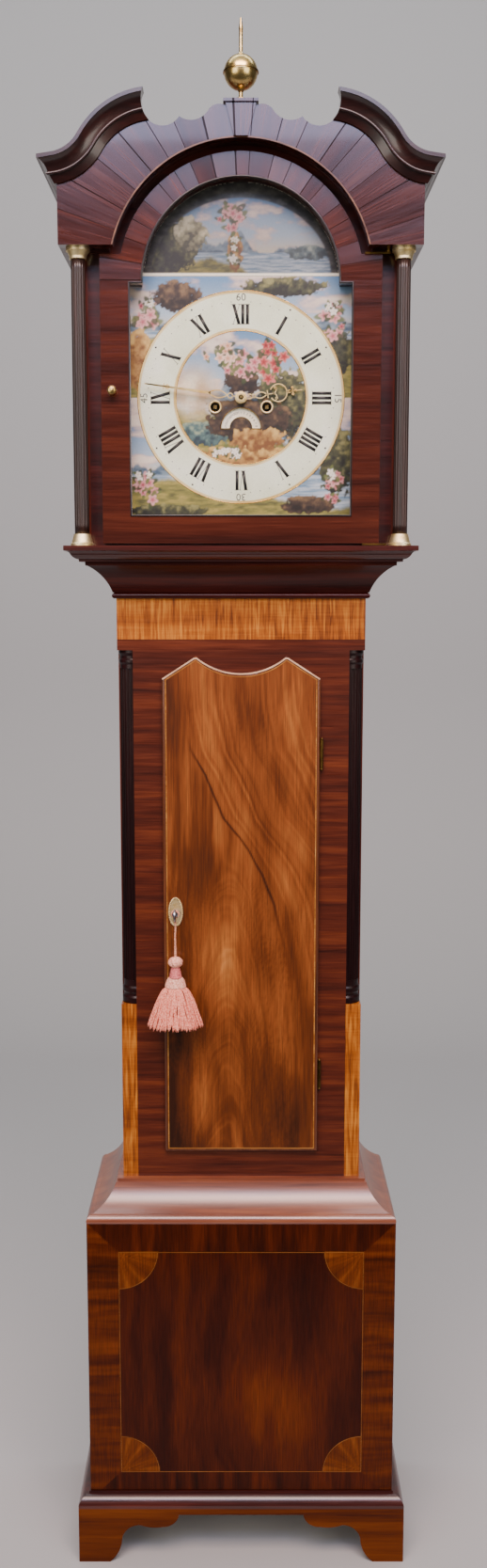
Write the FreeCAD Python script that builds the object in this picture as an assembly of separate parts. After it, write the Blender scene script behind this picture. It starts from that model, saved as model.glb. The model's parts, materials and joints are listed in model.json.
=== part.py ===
import FreeCAD, Part
import math
import os

# Longcase clock with an arched painted dial and a swan-neck hood.
# Millimetres. X runs to the clock's right as it is seen, Y to the back, Z up.
# The origin is on the floor, under the middle of the box that holds the clock.

# Heights of the case, from the floor up
FOOT_HEIGHT = 90.0
BASE_HEIGHT = 462.0
PLINTH_HEIGHT = 20.0
PLINTH_EDGE = 5.0
PLINTH_LIST = 3.0
PLINTH_LIST_OUT = 2.0
WAIST_HEIGHT = 53.0
TRUNK_HEIGHT = 893.0
THROAT_HEIGHT = 52.0
LEDGE_HEIGHT = 22.0
COLUMN_HEIGHT = 407.0
FASCIA_RISE = 79.0

# Widths and depths: the base stands out from the trunk by the same amount in front and at the sides.
# The hood stands out in front by its own amount, and its width follows its door and columns.
TRUNK_WIDTH = 367.0
TRUNK_DEPTH = 181.0
BASE_OUT = 53.0
FOOT_OUT = 17.5
HOOD_OUT = 68.0
CORNICE_OUT = 24.0

# Boards
BACKBOARD = 12.0
SIDE_BOARD = 12.0
BASE_BOARD = 14.0
FRONT_BOARD = 18.0
FOOT_BOARD = 30.0
CORNER_POST = 22.0

# Bracket feet
FOOT_FLOOR = 48.0
APRON_DEPTH = 10.0
APRON_FLAT = 194.0
SIDE_APRON_FLAT = 30.0

# Trunk: corner columns and frieze
CORNER_R = 23.0
CORNER_SHAFT_IN = 2.0
CORNER_RING = 6.0
LOWER_BLOCK = 277.0
UPPER_BLOCK = 16.0
FRIEZE = 60.0
FLUTES = 5
FLUTE_R = 2.4

# Trunk door, with a lip that laps the frame
DOOR_WIDTH = 235.0
DOOR_HEIGHT = 732.0
DOOR_ABOVE_WAIST = 44.0
DOOR_PEAK_RISE = 32.6
DOOR_PEAK_SPAN = 134.0
DOOR_DIP = 24.6
DOOR_LIP = 6.0
DOOR_LIP_THICK = 9.5
DOOR_LIP_ROUND = 4.0
DOOR_BODY = 15.0
DOOR_PLAY = 3.0

# Trunk door hinges
HINGE_LENGTH = 42.0
HINGE_TIP = 4.6
HINGE_BARREL_R = 2.4
HINGE_PIN_R = 1.2
HINGE_LEAF = 1.2
HINGE_LEAF_WIDTH = 7.0
HINGE_LOW = 167.0
HINGE_HIGH = 663.0
HINGE_WEB = 1.5

# Lock, key and tassel
LOCK_ABOVE_WAIST = 424.0
LOCK_IN = 18.5
LOCK_WIDTH = 36.0
LOCK_HEIGHT = 60.0
LOCK_DEPTH = 10.0
BOLT_THICK = 5.0
BOLT_HEIGHT = 16.0
BOLT_THROW = 8.0
ESCUTCHEON_WIDTH = 22.0
ESCUTCHEON_HEIGHT = 45.0
ESCUTCHEON_THICK = 1.6
ESCUTCHEON_RIM = 2.2
KEY_SHANK_R = 3.0
KEY_SHANK_OUT = 20.0
KEY_COLLAR = 2.5
KEY_BOW_R = 8.5
KEY_BOW_WIRE = 1.7
TASSEL_CORD_R = 1.6
TASSEL_CORD = 42.0
TASSEL_KNOT_R = 11.0
TASSEL_NECK = 19.0
TASSEL_COLLAR = 20.0
TASSEL_COLLAR_WIDTH = 33.0
TASSEL_SKIRT = 63.0
TASSEL_SKIRT_WIDTH = 86.0
TASSEL_FLATNESS = 0.58

# Hood
HOOD_SIDE_IN = 23.5
HOOD_LEDGE_WIDTH = 47.5
HOOD_OVERHANG = 68.0
LEDGE_FOLLOWS = 0.5
THROAT_LAP = 20.0
ROOF_SHOULDER = 66.0
ROOF_R = 186.0
ROOF_THICK = 9.0
MASK_THICK = 8.0
COLUMN_R = 10.5
COLUMN_IN = 24.5
COLUMN_BRASS = 17.0
COLUMN_CAPITAL = 14.0
COLUMN_BRASS_R = 16.5
BRASS_LIP = 3.5
BRASS_STEP = 1.5
FINIAL_BALL_R = 23.0
FINIAL_STEM = 37.0
FINIAL_SPIKE = 69.0
FINIAL_FOOT_R = 8.0
FINIAL_STEM_R = 2.8
FINIAL_NECK_R = 5.0
FINIAL_SPIKE_R = 2.5
FINIAL_SEAM = 1.2

# Pediment
CORNICE_HEIGHT = 35.0
CORNICE_COVER = 0.75
SWAN_RISE = 82.0
SWAN_INNER = 129.0
SWAN_TURN = 51.0
FASCIA_ARCH_R = 181.5
SCOOP_R = 28.0
SCOOP_DROP = 6.5
CREST_R = 22.5
KEYSTONE_TOP = 42.0
KEYSTONE_FOOT = 19.0
KEYSTONE_DROP = 43.0
KEYSTONE_OUT = 4.0
KEYSTONE_ABOVE = 3.0
KEYSTONE_CAP = 4.0
KEYSTONE_CAP_OUT = 3.0

# Hood door and glass
HOOD_DOOR_WIDTH = 394.0
HOOD_DOOR_SIDE = 13.5
HOOD_DOOR_FOOT = 4.0
HOOD_DOOR_HEAD = 7.0
HOOD_DOOR_ARCH = 171.0
HOOD_DOOR_THICK = 20.0
HOOD_DOOR_SET = 22.0
HOOD_DOOR_SHUT = 1.5
SIGHT_WIDTH = 310.0
SIGHT_BOTTOM = 44.0
SIGHT_SHOULDER = 361.0
SIGHT_ARCH = 137.0
ARCH_CENTRE = 365.0
GLASS = 3.0
GLASS_REBATE = 5.0
GLASS_SET = 11.0
MASK_IN = 2.0
PIVOT_OUT = 8.0
PIVOT_R = 2.5
PIVOT_LENGTH = 9.0
PIVOT_SET = 2.0
STRAP = 2.6
STRAP_WIDTH = 24.0
KNOB_R = 6.5
KNOB_OUT = 15.0
KNOB_IN = 16.0
KNOB_UP = 215.0

# Dial and motion work
DIAL_CENTRE = 210.0
DIAL_WIDTH = 330.0
DIAL_BOTTOM = 38.0
DIAL_SHOULDER = 368.0
DIAL_ARCH = 142.0
DIAL_PLATE = 2.0
DIAL_SET = 52.5
DIAL_CENTRE_HOLE_R = 6.0
DIAL_FOOT_R = 3.0
DIAL_FOOT_IN = 6.0
DIAL_FOOT_LOW = 20.0
DIAL_FOOT_HIGH = 144.0
WINDING_X = 37.0
WINDING_DROP = 12.7
WINDING_HOLE_R = 6.5
WINDING_SQUARE = 5.0
DATE_DROP = 42.4
DATE_OUTER_R = 28.0
DATE_INNER_R = 16.6
DATE_DISC_R = 31.0
DATE_DISC = 1.0
DATE_STUD_R = 1.6
DATE_STUD = 4.0
MINUTE_HAND = 140.0
HOUR_HAND = 92.0
HAND_THICK = 1.2
HAND_GAP = 5.0
HAND_COLLET_R = 8.0
HAND_RING = 1.5
HAND_PIPE = 1.4
MINUTES_SHOWN = 46.0
HOURS_SHOWN = 2.0

# Movement
PLATE_WIDTH = 124.0
PLATE_HEIGHT = 168.0
PLATE_FOOT = 68.0
PLATE_THICK = 3.0
PLATE_GAP = 66.0
DIAL_FOOT_LENGTH = 38.0
STUD_LENGTH = 16.0
PILLAR_R = 5.0
PILLAR_IN = 9.0
PILLAR_LOW = 15.0
PILLAR_HIGH = 138.0
SEATBOARD = 18.0
SEATBOARD_FRONT = 12.0
SEATBOARD_BACK = 4.0
GREAT_TEETH = 96
CENTRE_LEAVES = 8
CENTRE_TEETH = 60
THIRD_LEAVES = 8
THIRD_TEETH = 56
ESCAPE_LEAVES = 7
ESCAPE_TEETH = 30
CANNON_TEETH = 36
MINUTE_LEAVES = 6
HOUR_TEETH = 72
STRIKE_TEETH = 78
HAMMER_X = -36.0
HAMMER_UP = 62.0
CENTRE_TO_THIRD = 23.8
THIRD_TO_ESCAPE = 20.5
CENTRE_TO_ESCAPE = 38.0
ESCAPE_TO_PALLETS = 30.0
CENTRE_TO_MINUTE = 26.0
STRIKE_WHEEL_R = 32.0
ESCAPE_R = 17.5
WHEEL_THICK = 2.0
WHEEL_SPOKE = 3.2
CENTRE_WHEEL_AT = 3.0
THIRD_WHEEL_AT = 25.0
ESCAPE_WHEEL_AT = 46.0
MOTION_WHEEL_AT = 4.0
HOUR_WHEEL_AT = 12.0
PINION_LENGTH = 5.0
PINION_LEAD = 1.5
ARBOR_R = 1.5
PIVOT_PIN_R = 0.8
CENTRE_ARBOR_R = 2.0
BARREL_R = 22.0
BARREL_LENGTH = 44.0
BARREL_AT = 9.0
BARREL_ARBOR_R = 3.0

# Pendulum, weights and bell
PENDULUM_LENGTH = 994.0
PENDULUM_ROD_R = 3.0
PENDULUM_BEHIND = 21.0
PENDULUM_BELOW = 26.0
RATING_NUT_R = 9.0
SUSPENSION = 8.0
BOB_R = 50.0
BOB_THICK = 26.0
BOB_RIM = 3.0
BOB_FOOT = 4.0
CRUTCH = 80.0
CRUTCH_WIDTH = 3.0
COCK_HALF = 24.0
COCK_OUT = 9.0
COCK_PLATE = 4.0
COCK_LEG = 6.0
COCK_RISE = 8.0
WEIGHT_R = 30.0
WEIGHT_HEIGHT = 190.0
WEIGHT_FLOOR = 40.0
PULLEY_R = 20.0
PULLEY_THICK = 9.0
PULLEY_ABOVE = 42.0
STIRRUP = 2.0
STIRRUP_WIDTH = 8.0
LINE_R = 1.1
BELL_R = 44.0
BELL_HEIGHT = 34.0
BELL_WALL = 3.0
BELL_ABOVE = 14.0
BELL_STAND_R = 3.0
BELL_NUT_R = 6.0
BELL_BAR = 3.0
HAMMER_HEAD_R = 6.0
HAMMER_HEAD = 14.0
HAMMER_STEM = 3.0
HAMMER_CLEAR = 0.8

# Clearances
RUNNING = 0.06
AIR = 0.4
END_SHAKE = 0.3

# Levels
z_base = FOOT_HEIGHT
z_waist = z_base + BASE_HEIGHT
z_trunk = z_waist + WAIST_HEIGHT
z_throat = z_trunk + TRUNK_HEIGHT
z_ledge = z_throat + THROAT_HEIGHT
z_hood = z_ledge + LEDGE_HEIGHT
z_fascia = z_hood + COLUMN_HEIGHT
z_swan = z_fascia + FASCIA_RISE
z_roof = z_fascia + ROOF_SHOULDER
z_arch = z_hood + ARCH_CENTRE
z_dial = z_hood + DIAL_CENTRE
z_door = z_trunk + DOOR_ABOVE_WAIST
z_lock = z_trunk + LOCK_ABOVE_WAIST
z_seat = z_dial - PLATE_FOOT

# Half widths
trunk_half = TRUNK_WIDTH / 2
base_half = trunk_half + BASE_OUT
foot_half = base_half + FOOT_OUT
hood_half = HOOD_DOOR_WIDTH / 2 + HOOD_DOOR_SIDE + COLUMN_BRASS_R + COLUMN_IN
side_half = hood_half - HOOD_SIDE_IN
door_half = DOOR_WIDTH / 2
ledge_width = HOOD_LEDGE_WIDTH + LEDGE_FOLLOWS * (hood_half - trunk_half - HOOD_OVERHANG)
ledge_in = hood_half - ledge_width

# Depths, from the wall side forwards
y_back = (TRUNK_DEPTH + HOOD_OUT + CORNICE_OUT) / 2
y_inside = y_back - BACKBOARD
y_trunk = y_back - TRUNK_DEPTH
y_frame = y_trunk + CORNER_R
y_base = y_trunk - BASE_OUT
y_foot = y_base - FOOT_OUT
y_hood = y_trunk - HOOD_OUT
y_fascia_back = y_hood + FRONT_BOARD
y_hood_door = y_hood + HOOD_DOOR_SET
y_glass = y_hood_door + GLASS_SET
y_mask = y_hood_door + HOOD_DOOR_THICK + HOOD_DOOR_SHUT
y_dial = y_hood + DIAL_SET
y_front_plate = y_dial + DIAL_PLATE + DIAL_FOOT_LENGTH
y_between = y_front_plate + PLATE_THICK
y_back_plate = y_between + PLATE_GAP
y_pendulum = y_back_plate + PLATE_THICK + PENDULUM_BEHIND


def at(point, y=0.0):
    """The space point over a drawing point (x, z)."""
    return FreeCAD.Vector(point[0], y, point[1])


def is_arc(step):
    return isinstance(step[0], tuple)


def outline(*steps):
    """A closed line in the XZ plane. A step is a corner (x, z), or (through, corner) for an arc to it."""
    edges = []
    here = steps[0]
    for step in list(steps[1:]) + [steps[0]]:
        there = step[1] if is_arc(step) else step
        if is_arc(step):
            edges.append(Part.Arc(at(here), at(step[0]), at(there)).toShape())
        elif math.dist(here, there) > 1e-6:
            edges.append(Part.makeLine(at(here), at(there)))
        here = there
    return Part.Wire(edges)


def symmetric(*steps, crown=None):
    """An outline from its right half, bottom to top. An arc through the crown may close the top."""
    left = []
    through = crown
    for step in reversed(steps):
        corner = step[1] if is_arc(step) else step
        mirrored_corner = (-corner[0], corner[1])
        left.append((through, mirrored_corner) if through else mirrored_corner)
        through = (-step[0][0], step[0][1]) if is_arc(step) else None
    return outline(*steps, *left)


def slab(wire, y0, y1):
    """The solid of a drawn outline from y0 to y1."""
    face = Part.Face(wire)
    face.translate(FreeCAD.Vector(0, y0, 0))
    return face.extrude(FreeCAD.Vector(0, y1 - y0, 0))


def side_slab(wire, x0, x1):
    """An outline drawn along Y and Z, as a solid from x0 to x1."""
    solid = slab(wire, -x1, -x0)
    solid.rotate(FreeCAD.Vector(0, 0, 0), FreeCAD.Vector(0, 0, 1), 90)
    return solid


def board(x0, x1, y0, y1, z0, z1):
    corner = FreeCAD.Vector(min(x0, x1), min(y0, y1), min(z0, z1))
    return Part.makeBox(abs(x1 - x0), abs(y1 - y0), abs(z1 - z0), corner)


def rod(x, z, radius, y0, y1):
    """A round bar along Y."""
    return Part.makeCylinder(radius, y1 - y0, FreeCAD.Vector(x, y0, z), FreeCAD.Vector(0, 1, 0))


def post(x, y, radius, z0, z1):
    """A round bar along Z."""
    return Part.makeCylinder(radius, z1 - z0, FreeCAD.Vector(x, y, z0))


def turned(x, y, angle, *steps):
    """A turning about the vertical through (x, y), from its half section of (radius, z) steps."""
    face = Part.Face(outline(*steps))
    solid = face.revolve(FreeCAD.Vector(0, 0, 0), FreeCAD.Vector(0, 0, -1), angle)
    solid.translate(FreeCAD.Vector(x, y, 0))
    return solid


def turned_knob(x, z, y, *steps):
    """A turning about the line along Y through (x, z), from (radius, length) steps that run forwards."""
    solid = turned(0, 0, 360, *steps)
    solid.rotate(FreeCAD.Vector(0, 0, 0), FreeCAD.Vector(1, 0, 0), 90)
    solid.translate(FreeCAD.Vector(x, y, z))
    return solid


def wire_ring(radius, wire, angle):
    """A level ring of six-sided wire round the origin, or the part of it within an angle."""
    inner = radius - wire
    outer = radius + wire
    flat = wire / 2
    return turned(
        0.0, 0.0, angle,
        (inner, -flat), (radius, -wire), (outer, -flat), (outer, flat), (radius, wire), (inner, flat),
    )


def mirrored(solid):
    return solid.mirror(FreeCAD.Vector(0, 0, 0), FreeCAD.Vector(1, 0, 0))


def both(solid):
    """A piece and its twin on the other side of the clock."""
    return [solid, mirrored(solid)]


def joined(first, *others):
    return first.fuse(list(others)).removeSplitter()


def moulding(half, y_front, y_end, z, *steps):
    """A moulding mitred round the front and both sides, from its section of (out, up) steps."""
    corners = [(half, y_end), (half, y_front), (-half, y_front), (-half, y_end)]
    path = Part.makePolygon([FreeCAD.Vector(x, y, z) for x, y in corners])
    section = outline(*steps)
    section.translate(FreeCAD.Vector(half, y_end, z))
    sweep = Part.BRepOffsetAPI.MakePipeShell(path)
    sweep.setTransitionMode(1)
    sweep.add(section)
    sweep.build()
    sweep.makeSolid()
    return sweep.shape()


def break_arch(half, bottom, shoulder, radius):
    """The outline of a dial with an arched top. The arch stands on two square shoulders."""
    reach = math.sqrt(radius**2 - (shoulder - z_arch) ** 2)
    steps = ((half, bottom), (half, shoulder), (reach, shoulder))
    return symmetric(*steps, crown=(0.0, z_arch + radius))


def scroll(outer, flat, top):
    """The scrolled underside of a bracket foot, from the flat of the apron down to the floor."""
    run = outer - flat
    lobe = (flat + 0.24 * run, 0.74 * top)
    knee = (flat + 0.56 * run, 0.78 * top)
    ankle = (flat + 0.82 * run, 0.5 * top)
    return (
        (flat, top),
        ((flat + 0.08 * run, 0.81 * top), lobe),
        ((flat + 0.4 * run, 0.73 * top), knee),
        ((flat + 0.74 * run, 0.69 * top), ankle),
        ((flat + 0.87 * run, 0.22 * top), (outer, 0.0)),
    )


def bracket_feet():
    """A front apron with its two feet, and a side apron behind each."""
    apron = FOOT_HEIGHT - APRON_DEPTH
    front_steps = scroll(foot_half - FOOT_FLOOR, APRON_FLAT / 2, apron)
    front = slab(
        symmetric(*front_steps, (foot_half, 0.0), (foot_half, FOOT_HEIGHT)), y_foot, y_foot + FOOT_BOARD
    )
    length = y_back - y_foot
    side_steps = scroll(length / 2 - FOOT_FLOOR, SIDE_APRON_FLAT / 2, apron)
    side_outline = symmetric(*side_steps, (length / 2, 0.0), (length / 2, FOOT_HEIGHT))
    side_outline.translate(FreeCAD.Vector((y_foot + y_back) / 2, 0, 0))
    side = side_slab(side_outline, foot_half - FOOT_BOARD, foot_half)
    return [front] + both(side.cut(board(0, foot_half, y_foot, y_foot + FOOT_BOARD, 0, FOOT_HEIGHT)))


def plinth_moulding():
    out = FOOT_OUT
    top = PLINTH_HEIGHT
    list_z = top - PLINTH_LIST
    return [
        moulding(
            base_half, y_base, y_back, z_base,
            (0.0, 0.0), (out, 0.0), (out, PLINTH_EDGE),
            ((out - 4.0, list_z - PLINTH_EDGE), (out - 11.0, list_z)),
            (PLINTH_LIST_OUT, list_z), (PLINTH_LIST_OUT, top), (0.0, top),
        )
    ]


def base_front_panel():
    return [board(-base_half, base_half, y_base, y_base + FRONT_BOARD, z_base, z_waist)]


def base_carcass():
    behind = y_base + FRONT_BOARD
    inner = base_half - BASE_BOARD
    side = board(inner, base_half, behind, y_inside, z_base, z_waist)
    floor = board(-inner, inner, behind, y_inside, z_base, z_base + BASE_BOARD)
    return both(side) + [floor]


def waist_moulding():
    out = BASE_OUT
    top = WAIST_HEIGHT
    return [
        moulding(
            trunk_half, y_trunk, y_back, z_waist,
            (0.0, 0.0), (out, 0.0), ((out - 1.5, 8.5), (out - 9.0, 11.5)), (out - 12.0, 13.0),
            ((22.0, 27.5), (11.0, top - 5.0)), (8.5, top - 5.0), (8.5, top), (0.0, top),
        )
    ]


def door_outline(inset):
    """The trunk door's outline: two sloping shoulders up to peaks, with a hollow between them."""
    half = door_half - inset
    shoulder = z_door + DOOR_HEIGHT - inset
    peak_x = DOOR_PEAK_SPAN / 2
    peak = shoulder + DOOR_PEAK_RISE
    steps = ((half, z_door + inset), (half, shoulder), (peak_x, peak))
    return symmetric(*steps, crown=(0.0, peak - DOOR_DIP))


def hinge_axis():
    """Where the trunk door turns: beside the lip's edge, half way through the lip."""
    return door_half + AIR + HINGE_BARREL_R, y_trunk - DOOR_LIP_THICK / 2


def hinge_levels():
    return [z_trunk + HINGE_LOW, z_trunk + HINGE_HIGH]


def trunk_front_frame():
    """The flat frame round the trunk door, with a block over each corner column."""
    column_top = z_throat - FRIEZE - UPPER_BLOCK
    inner = trunk_half - CORNER_R
    block_top = column_top + UPPER_BLOCK
    shape = symmetric(
        (inner, z_waist), (inner, column_top), (trunk_half, column_top), (trunk_half, block_top),
    )
    frame = slab(shape, y_trunk, y_frame)
    frame = frame.cut(slab(door_outline(DOOR_LIP), y_trunk, y_frame))
    mortise_y = y_trunk + DOOR_BODY / 2
    mortise_x = door_half - DOOR_LIP
    mortise = board(
        -mortise_x - BOLT_THROW - AIR, -mortise_x, mortise_y - BOLT_THICK / 2 - AIR,
        mortise_y + BOLT_THICK / 2 + AIR, z_lock - BOLT_HEIGHT / 2 - AIR, z_lock + BOLT_HEIGHT / 2 + AIR,
    )
    return [frame.cut([mortise] + [fixed_leaf(z) for z in hinge_levels()])]


def fixed_leaf(z):
    """The hinge plate that is let into the frame, under the door's lip."""
    x, _ = hinge_axis()
    half = HINGE_LENGTH / 2
    return board(x + 1.0 - HINGE_LEAF_WIDTH, x + 1.0, y_trunk, y_trunk + HINGE_LEAF, z - half, z + half)


def moving_leaf(z):
    """The hinge plate that is let into the edge of the door's lip."""
    reach = DOOR_LIP_THICK - 2 * DOOR_LIP_ROUND
    y_mid = y_trunk - DOOR_LIP_THICK / 2
    third = HINGE_LENGTH / 6
    return board(door_half - HINGE_LEAF, door_half, y_mid - reach / 2, y_trunk - 1.0, z - third, z + third)


def hinge_tip(x, y, z, way):
    """The acorn that ends a hinge's barrel."""
    neck = HINGE_BARREL_R * 0.6
    tip = z + way * HINGE_TIP
    return turned(x, y, 360, (0.0, z), (neck, z), (HINGE_BARREL_R, z + way * neck), (0.0, tip))


def trunk_hinge_plates():
    """The fixed half of each hinge: leaf, two knuckles with ball tips, and the pin through them."""
    x, y = hinge_axis()
    half = HINGE_LENGTH / 2
    third = HINGE_LENGTH / 6
    solids = []
    for z in hinge_levels():
        pieces = [post(x, y, HINGE_PIN_R, z - half, z + half)]
        for low, high, tip in ((-half, -third - END_SHAKE, -1), (third + END_SHAKE, half, 1)):
            pieces.append(post(x, y, HINGE_BARREL_R, z + low, z + high))
            pieces.append(board(x - HINGE_WEB / 2, x + HINGE_WEB / 2, y, y_trunk, z + low, z + high))
            pieces.append(hinge_tip(x, y, z + tip * half, tip))
        solids.append(joined(fixed_leaf(z), *pieces))
    return solids


def trunk_door_hinge_leaves():
    """The door's half of each hinge: leaf and middle knuckle, which turns on the pin."""
    x, y = hinge_axis()
    third = HINGE_LENGTH / 6
    solids = []
    for z in hinge_levels():
        knuckle = post(x, y, HINGE_BARREL_R, z - third, z + third)
        web = board(door_half - HINGE_LEAF, x, y - HINGE_WEB / 2, y + HINGE_WEB / 2, z - third, z + third)
        pin = post(x, y, HINGE_PIN_R + RUNNING, z - third, z + third)
        solids.append(joined(moving_leaf(z), web, knuckle).cut(pin))
    return solids


def trunk_door_panel():
    """The door: a body inside the frame and a rounded lip over it."""
    lip = slab(door_outline(0.0), y_trunk - DOOR_LIP_THICK, y_trunk)
    front = [e for e in lip.Edges if e.BoundBox.YMax < y_trunk - DOOR_LIP_THICK + 0.01]
    lip = lip.makeFillet(DOOR_LIP_ROUND, front)
    body = slab(door_outline(DOOR_LIP + DOOR_PLAY), y_trunk, y_trunk + DOOR_BODY)
    key_x = -door_half + LOCK_IN
    keyhole = rod(key_x, z_lock, KEY_SHANK_R + AIR, y_trunk - DOOR_LIP_THICK, y_trunk + DOOR_BODY)
    bolt = board(
        -door_half, key_x + LOCK_WIDTH / 2, bolt_y() - BOLT_THICK / 2 - AIR, y_trunk + DOOR_BODY,
        z_lock - BOLT_HEIGHT / 2 - AIR, z_lock + BOLT_HEIGHT / 2 + AIR,
    )
    return [joined(lip, body).cut([keyhole, bolt] + [moving_leaf(z) for z in hinge_levels()])]


def bolt_y():
    """The middle of the lock bolt, half way through the door's body."""
    return y_trunk + DOOR_BODY / 2


def door_lock():
    """The lock's brass case, screwed to the back of the door, with the key's hole through it."""
    key_x = -door_half + LOCK_IN
    y0 = y_trunk + DOOR_BODY
    left = -door_half + DOOR_LIP + DOOR_PLAY
    half = LOCK_HEIGHT / 2
    case = board(left, key_x + LOCK_WIDTH / 2, y0, y0 + LOCK_DEPTH, z_lock - half, z_lock + half)
    guide = board(
        left + 4.0, key_x + LOCK_WIDTH / 2, y0 - DOOR_BODY / 2 + BOLT_THICK / 2, y0,
        z_lock - BOLT_HEIGHT / 2, z_lock + BOLT_HEIGHT / 2,
    )
    hole = rod(key_x, z_lock, KEY_SHANK_R + RUNNING, y0 - DOOR_BODY, y0 + LOCK_DEPTH - 2.0)
    return [joined(case, guide).cut(hole)]


def lock_bolt():
    """The bolt, drawn back into the door, with a slot for the key's shank to pass through."""
    key_x = -door_half + LOCK_IN
    left = -door_half + DOOR_LIP + DOOR_PLAY
    right = key_x + LOCK_WIDTH / 2 - 3.0
    y0 = bolt_y() - BOLT_THICK / 2
    y1 = bolt_y() + BOLT_THICK / 2
    bar = board(left, right, y0, y1, z_lock - BOLT_HEIGHT / 2, z_lock + BOLT_HEIGHT / 2)
    room = KEY_SHANK_R + AIR
    return [bar.cut(board(key_x - room, key_x + room + BOLT_THROW, y0, y1, z_lock - room, z_lock + room))]


def ellipse_slab(width, height, x, z, y0, y1):
    ring = Part.Ellipse(FreeCAD.Vector(0, 0, 0), height / 2, width / 2)
    wire = Part.Wire([ring.toShape()])
    wire.rotate(FreeCAD.Vector(0, 0, 0), FreeCAD.Vector(0, 0, 1), 90)
    wire.rotate(FreeCAD.Vector(0, 0, 0), FreeCAD.Vector(1, 0, 0), 90)
    wire.translate(FreeCAD.Vector(x, 0, z))
    return slab(wire, y0, y1)


def escutcheon():
    """An oval brass plate with a raised rim, round the key."""
    key_x = -door_half + LOCK_IN
    y0 = y_trunk - DOOR_LIP_THICK
    plate = ellipse_slab(ESCUTCHEON_WIDTH, ESCUTCHEON_HEIGHT, key_x, z_lock, y0 - ESCUTCHEON_THICK, y0)
    dish = ellipse_slab(
        ESCUTCHEON_WIDTH - 2 * ESCUTCHEON_RIM, ESCUTCHEON_HEIGHT - 2 * ESCUTCHEON_RIM, key_x, z_lock,
        y0 - ESCUTCHEON_THICK, y0 - ESCUTCHEON_THICK / 2,
    )
    hole = rod(key_x, z_lock, KEY_SHANK_R + AIR, y0 - ESCUTCHEON_THICK, y0)
    return [plate.cut([dish, hole])]


def door_key():
    """The key in the lock: shank, collar and a round bow that stands edge-on."""
    key_x = -door_half + LOCK_IN
    y_face = y_trunk - DOOR_LIP_THICK
    y_tip = y_trunk + DOOR_BODY + LOCK_DEPTH - 2.0 - AIR
    y_bow = y_face - KEY_SHANK_OUT
    shank = rod(key_x, z_lock, KEY_SHANK_R, y_bow, y_tip)
    collar = rod(key_x, z_lock, KEY_SHANK_R + KEY_COLLAR / 2, y_bow, y_bow + KEY_COLLAR)
    y_ring = y_bow - KEY_BOW_R
    ring = wire_ring(KEY_BOW_R, KEY_BOW_WIRE, 360)
    ring.rotate(FreeCAD.Vector(0, 0, 0), FreeCAD.Vector(0, 1, 0), 90)
    ring.translate(FreeCAD.Vector(key_x, y_ring, z_lock))
    return [joined(shank, collar, ring)]


def tassel_place():
    """The tassel's cord goes round the key's shank, between the escutcheon and the bow."""
    key_x = -door_half + LOCK_IN
    y = y_trunk - DOOR_LIP_THICK - KEY_SHANK_OUT + KEY_COLLAR + AIR + TASSEL_CORD_R
    top = z_lock - KEY_SHANK_R - AIR - 2 * TASSEL_CORD_R
    return key_x, y, top


def tassel_cord():
    """The cord: a loop round the key's shank, and the length that hangs from it."""
    x, y, top = tassel_place()
    loop_r = KEY_SHANK_R + AIR + TASSEL_CORD_R
    loop = wire_ring(loop_r, TASSEL_CORD_R, 360)
    loop.rotate(FreeCAD.Vector(0, 0, 0), FreeCAD.Vector(1, 0, 0), 90)
    loop.translate(FreeCAD.Vector(x, y, z_lock))
    hang = post(x, y, TASSEL_CORD_R, top - TASSEL_CORD, top + TASSEL_CORD_R)
    return [joined(loop, hang)]


def tassel_ring(width, z, y):
    """One level cross section of the tassel, flattened towards the door."""
    x, _, _ = tassel_place()
    depth = width * TASSEL_FLATNESS
    ring = Part.Ellipse(FreeCAD.Vector(0, 0, 0), width / 2, depth / 2)
    wire = Part.Wire([ring.toShape()])
    wire.translate(FreeCAD.Vector(x, y, z))
    return wire


def tassel():
    """A round knot, a bound neck, a collar and a skirt of cut threads."""
    x, y, top = tassel_place()
    z0 = top - TASSEL_CORD
    z1 = z0 - 2 * TASSEL_KNOT_R * 0.86
    z2 = z1 - TASSEL_NECK
    z3 = z2 - TASSEL_COLLAR
    z4 = z3 - TASSEL_SKIRT
    knot = turned(
        x, y, 360, (0.0, z0), (TASSEL_KNOT_R * 0.45, z0),
        ((TASSEL_KNOT_R, (z0 + z1) / 2), (TASSEL_KNOT_R * 0.45, z1)), (TASSEL_KNOT_R * 0.8, z2), (0.0, z2),
    )
    lean = TASSEL_SKIRT_WIDTH * TASSEL_FLATNESS / 2 - (y_trunk - DOOR_LIP_THICK - AIR - y)
    back = max(lean, 0.0)
    neck = TASSEL_KNOT_R * 1.6 / TASSEL_FLATNESS
    rings = [
        tassel_ring(neck * 0.62, z2, y),
        tassel_ring(TASSEL_COLLAR_WIDTH, (z2 + z3) / 2, y),
        tassel_ring(TASSEL_COLLAR_WIDTH, z3, y),
        tassel_ring(TASSEL_SKIRT_WIDTH * 0.72, z3 - TASSEL_SKIRT * 0.4, y - back * 0.6),
        tassel_ring(TASSEL_SKIRT_WIDTH, z4, y - back),
    ]
    return [joined(knot, Part.makeLoft(rings, True, True))]


def trunk_cheeks():
    """The trunk's side boards, which rise into the hood to carry the seatboard, and a post in each corner."""
    cheek = board(trunk_half - SIDE_BOARD, trunk_half, y_frame, y_inside, z_waist, z_seat - SEATBOARD)
    inner = trunk_half - SIDE_BOARD
    corner = board(inner - CORNER_POST, inner, y_frame, y_frame + CORNER_POST, z_waist, z_ledge)
    return both(cheek) + both(corner)


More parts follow.
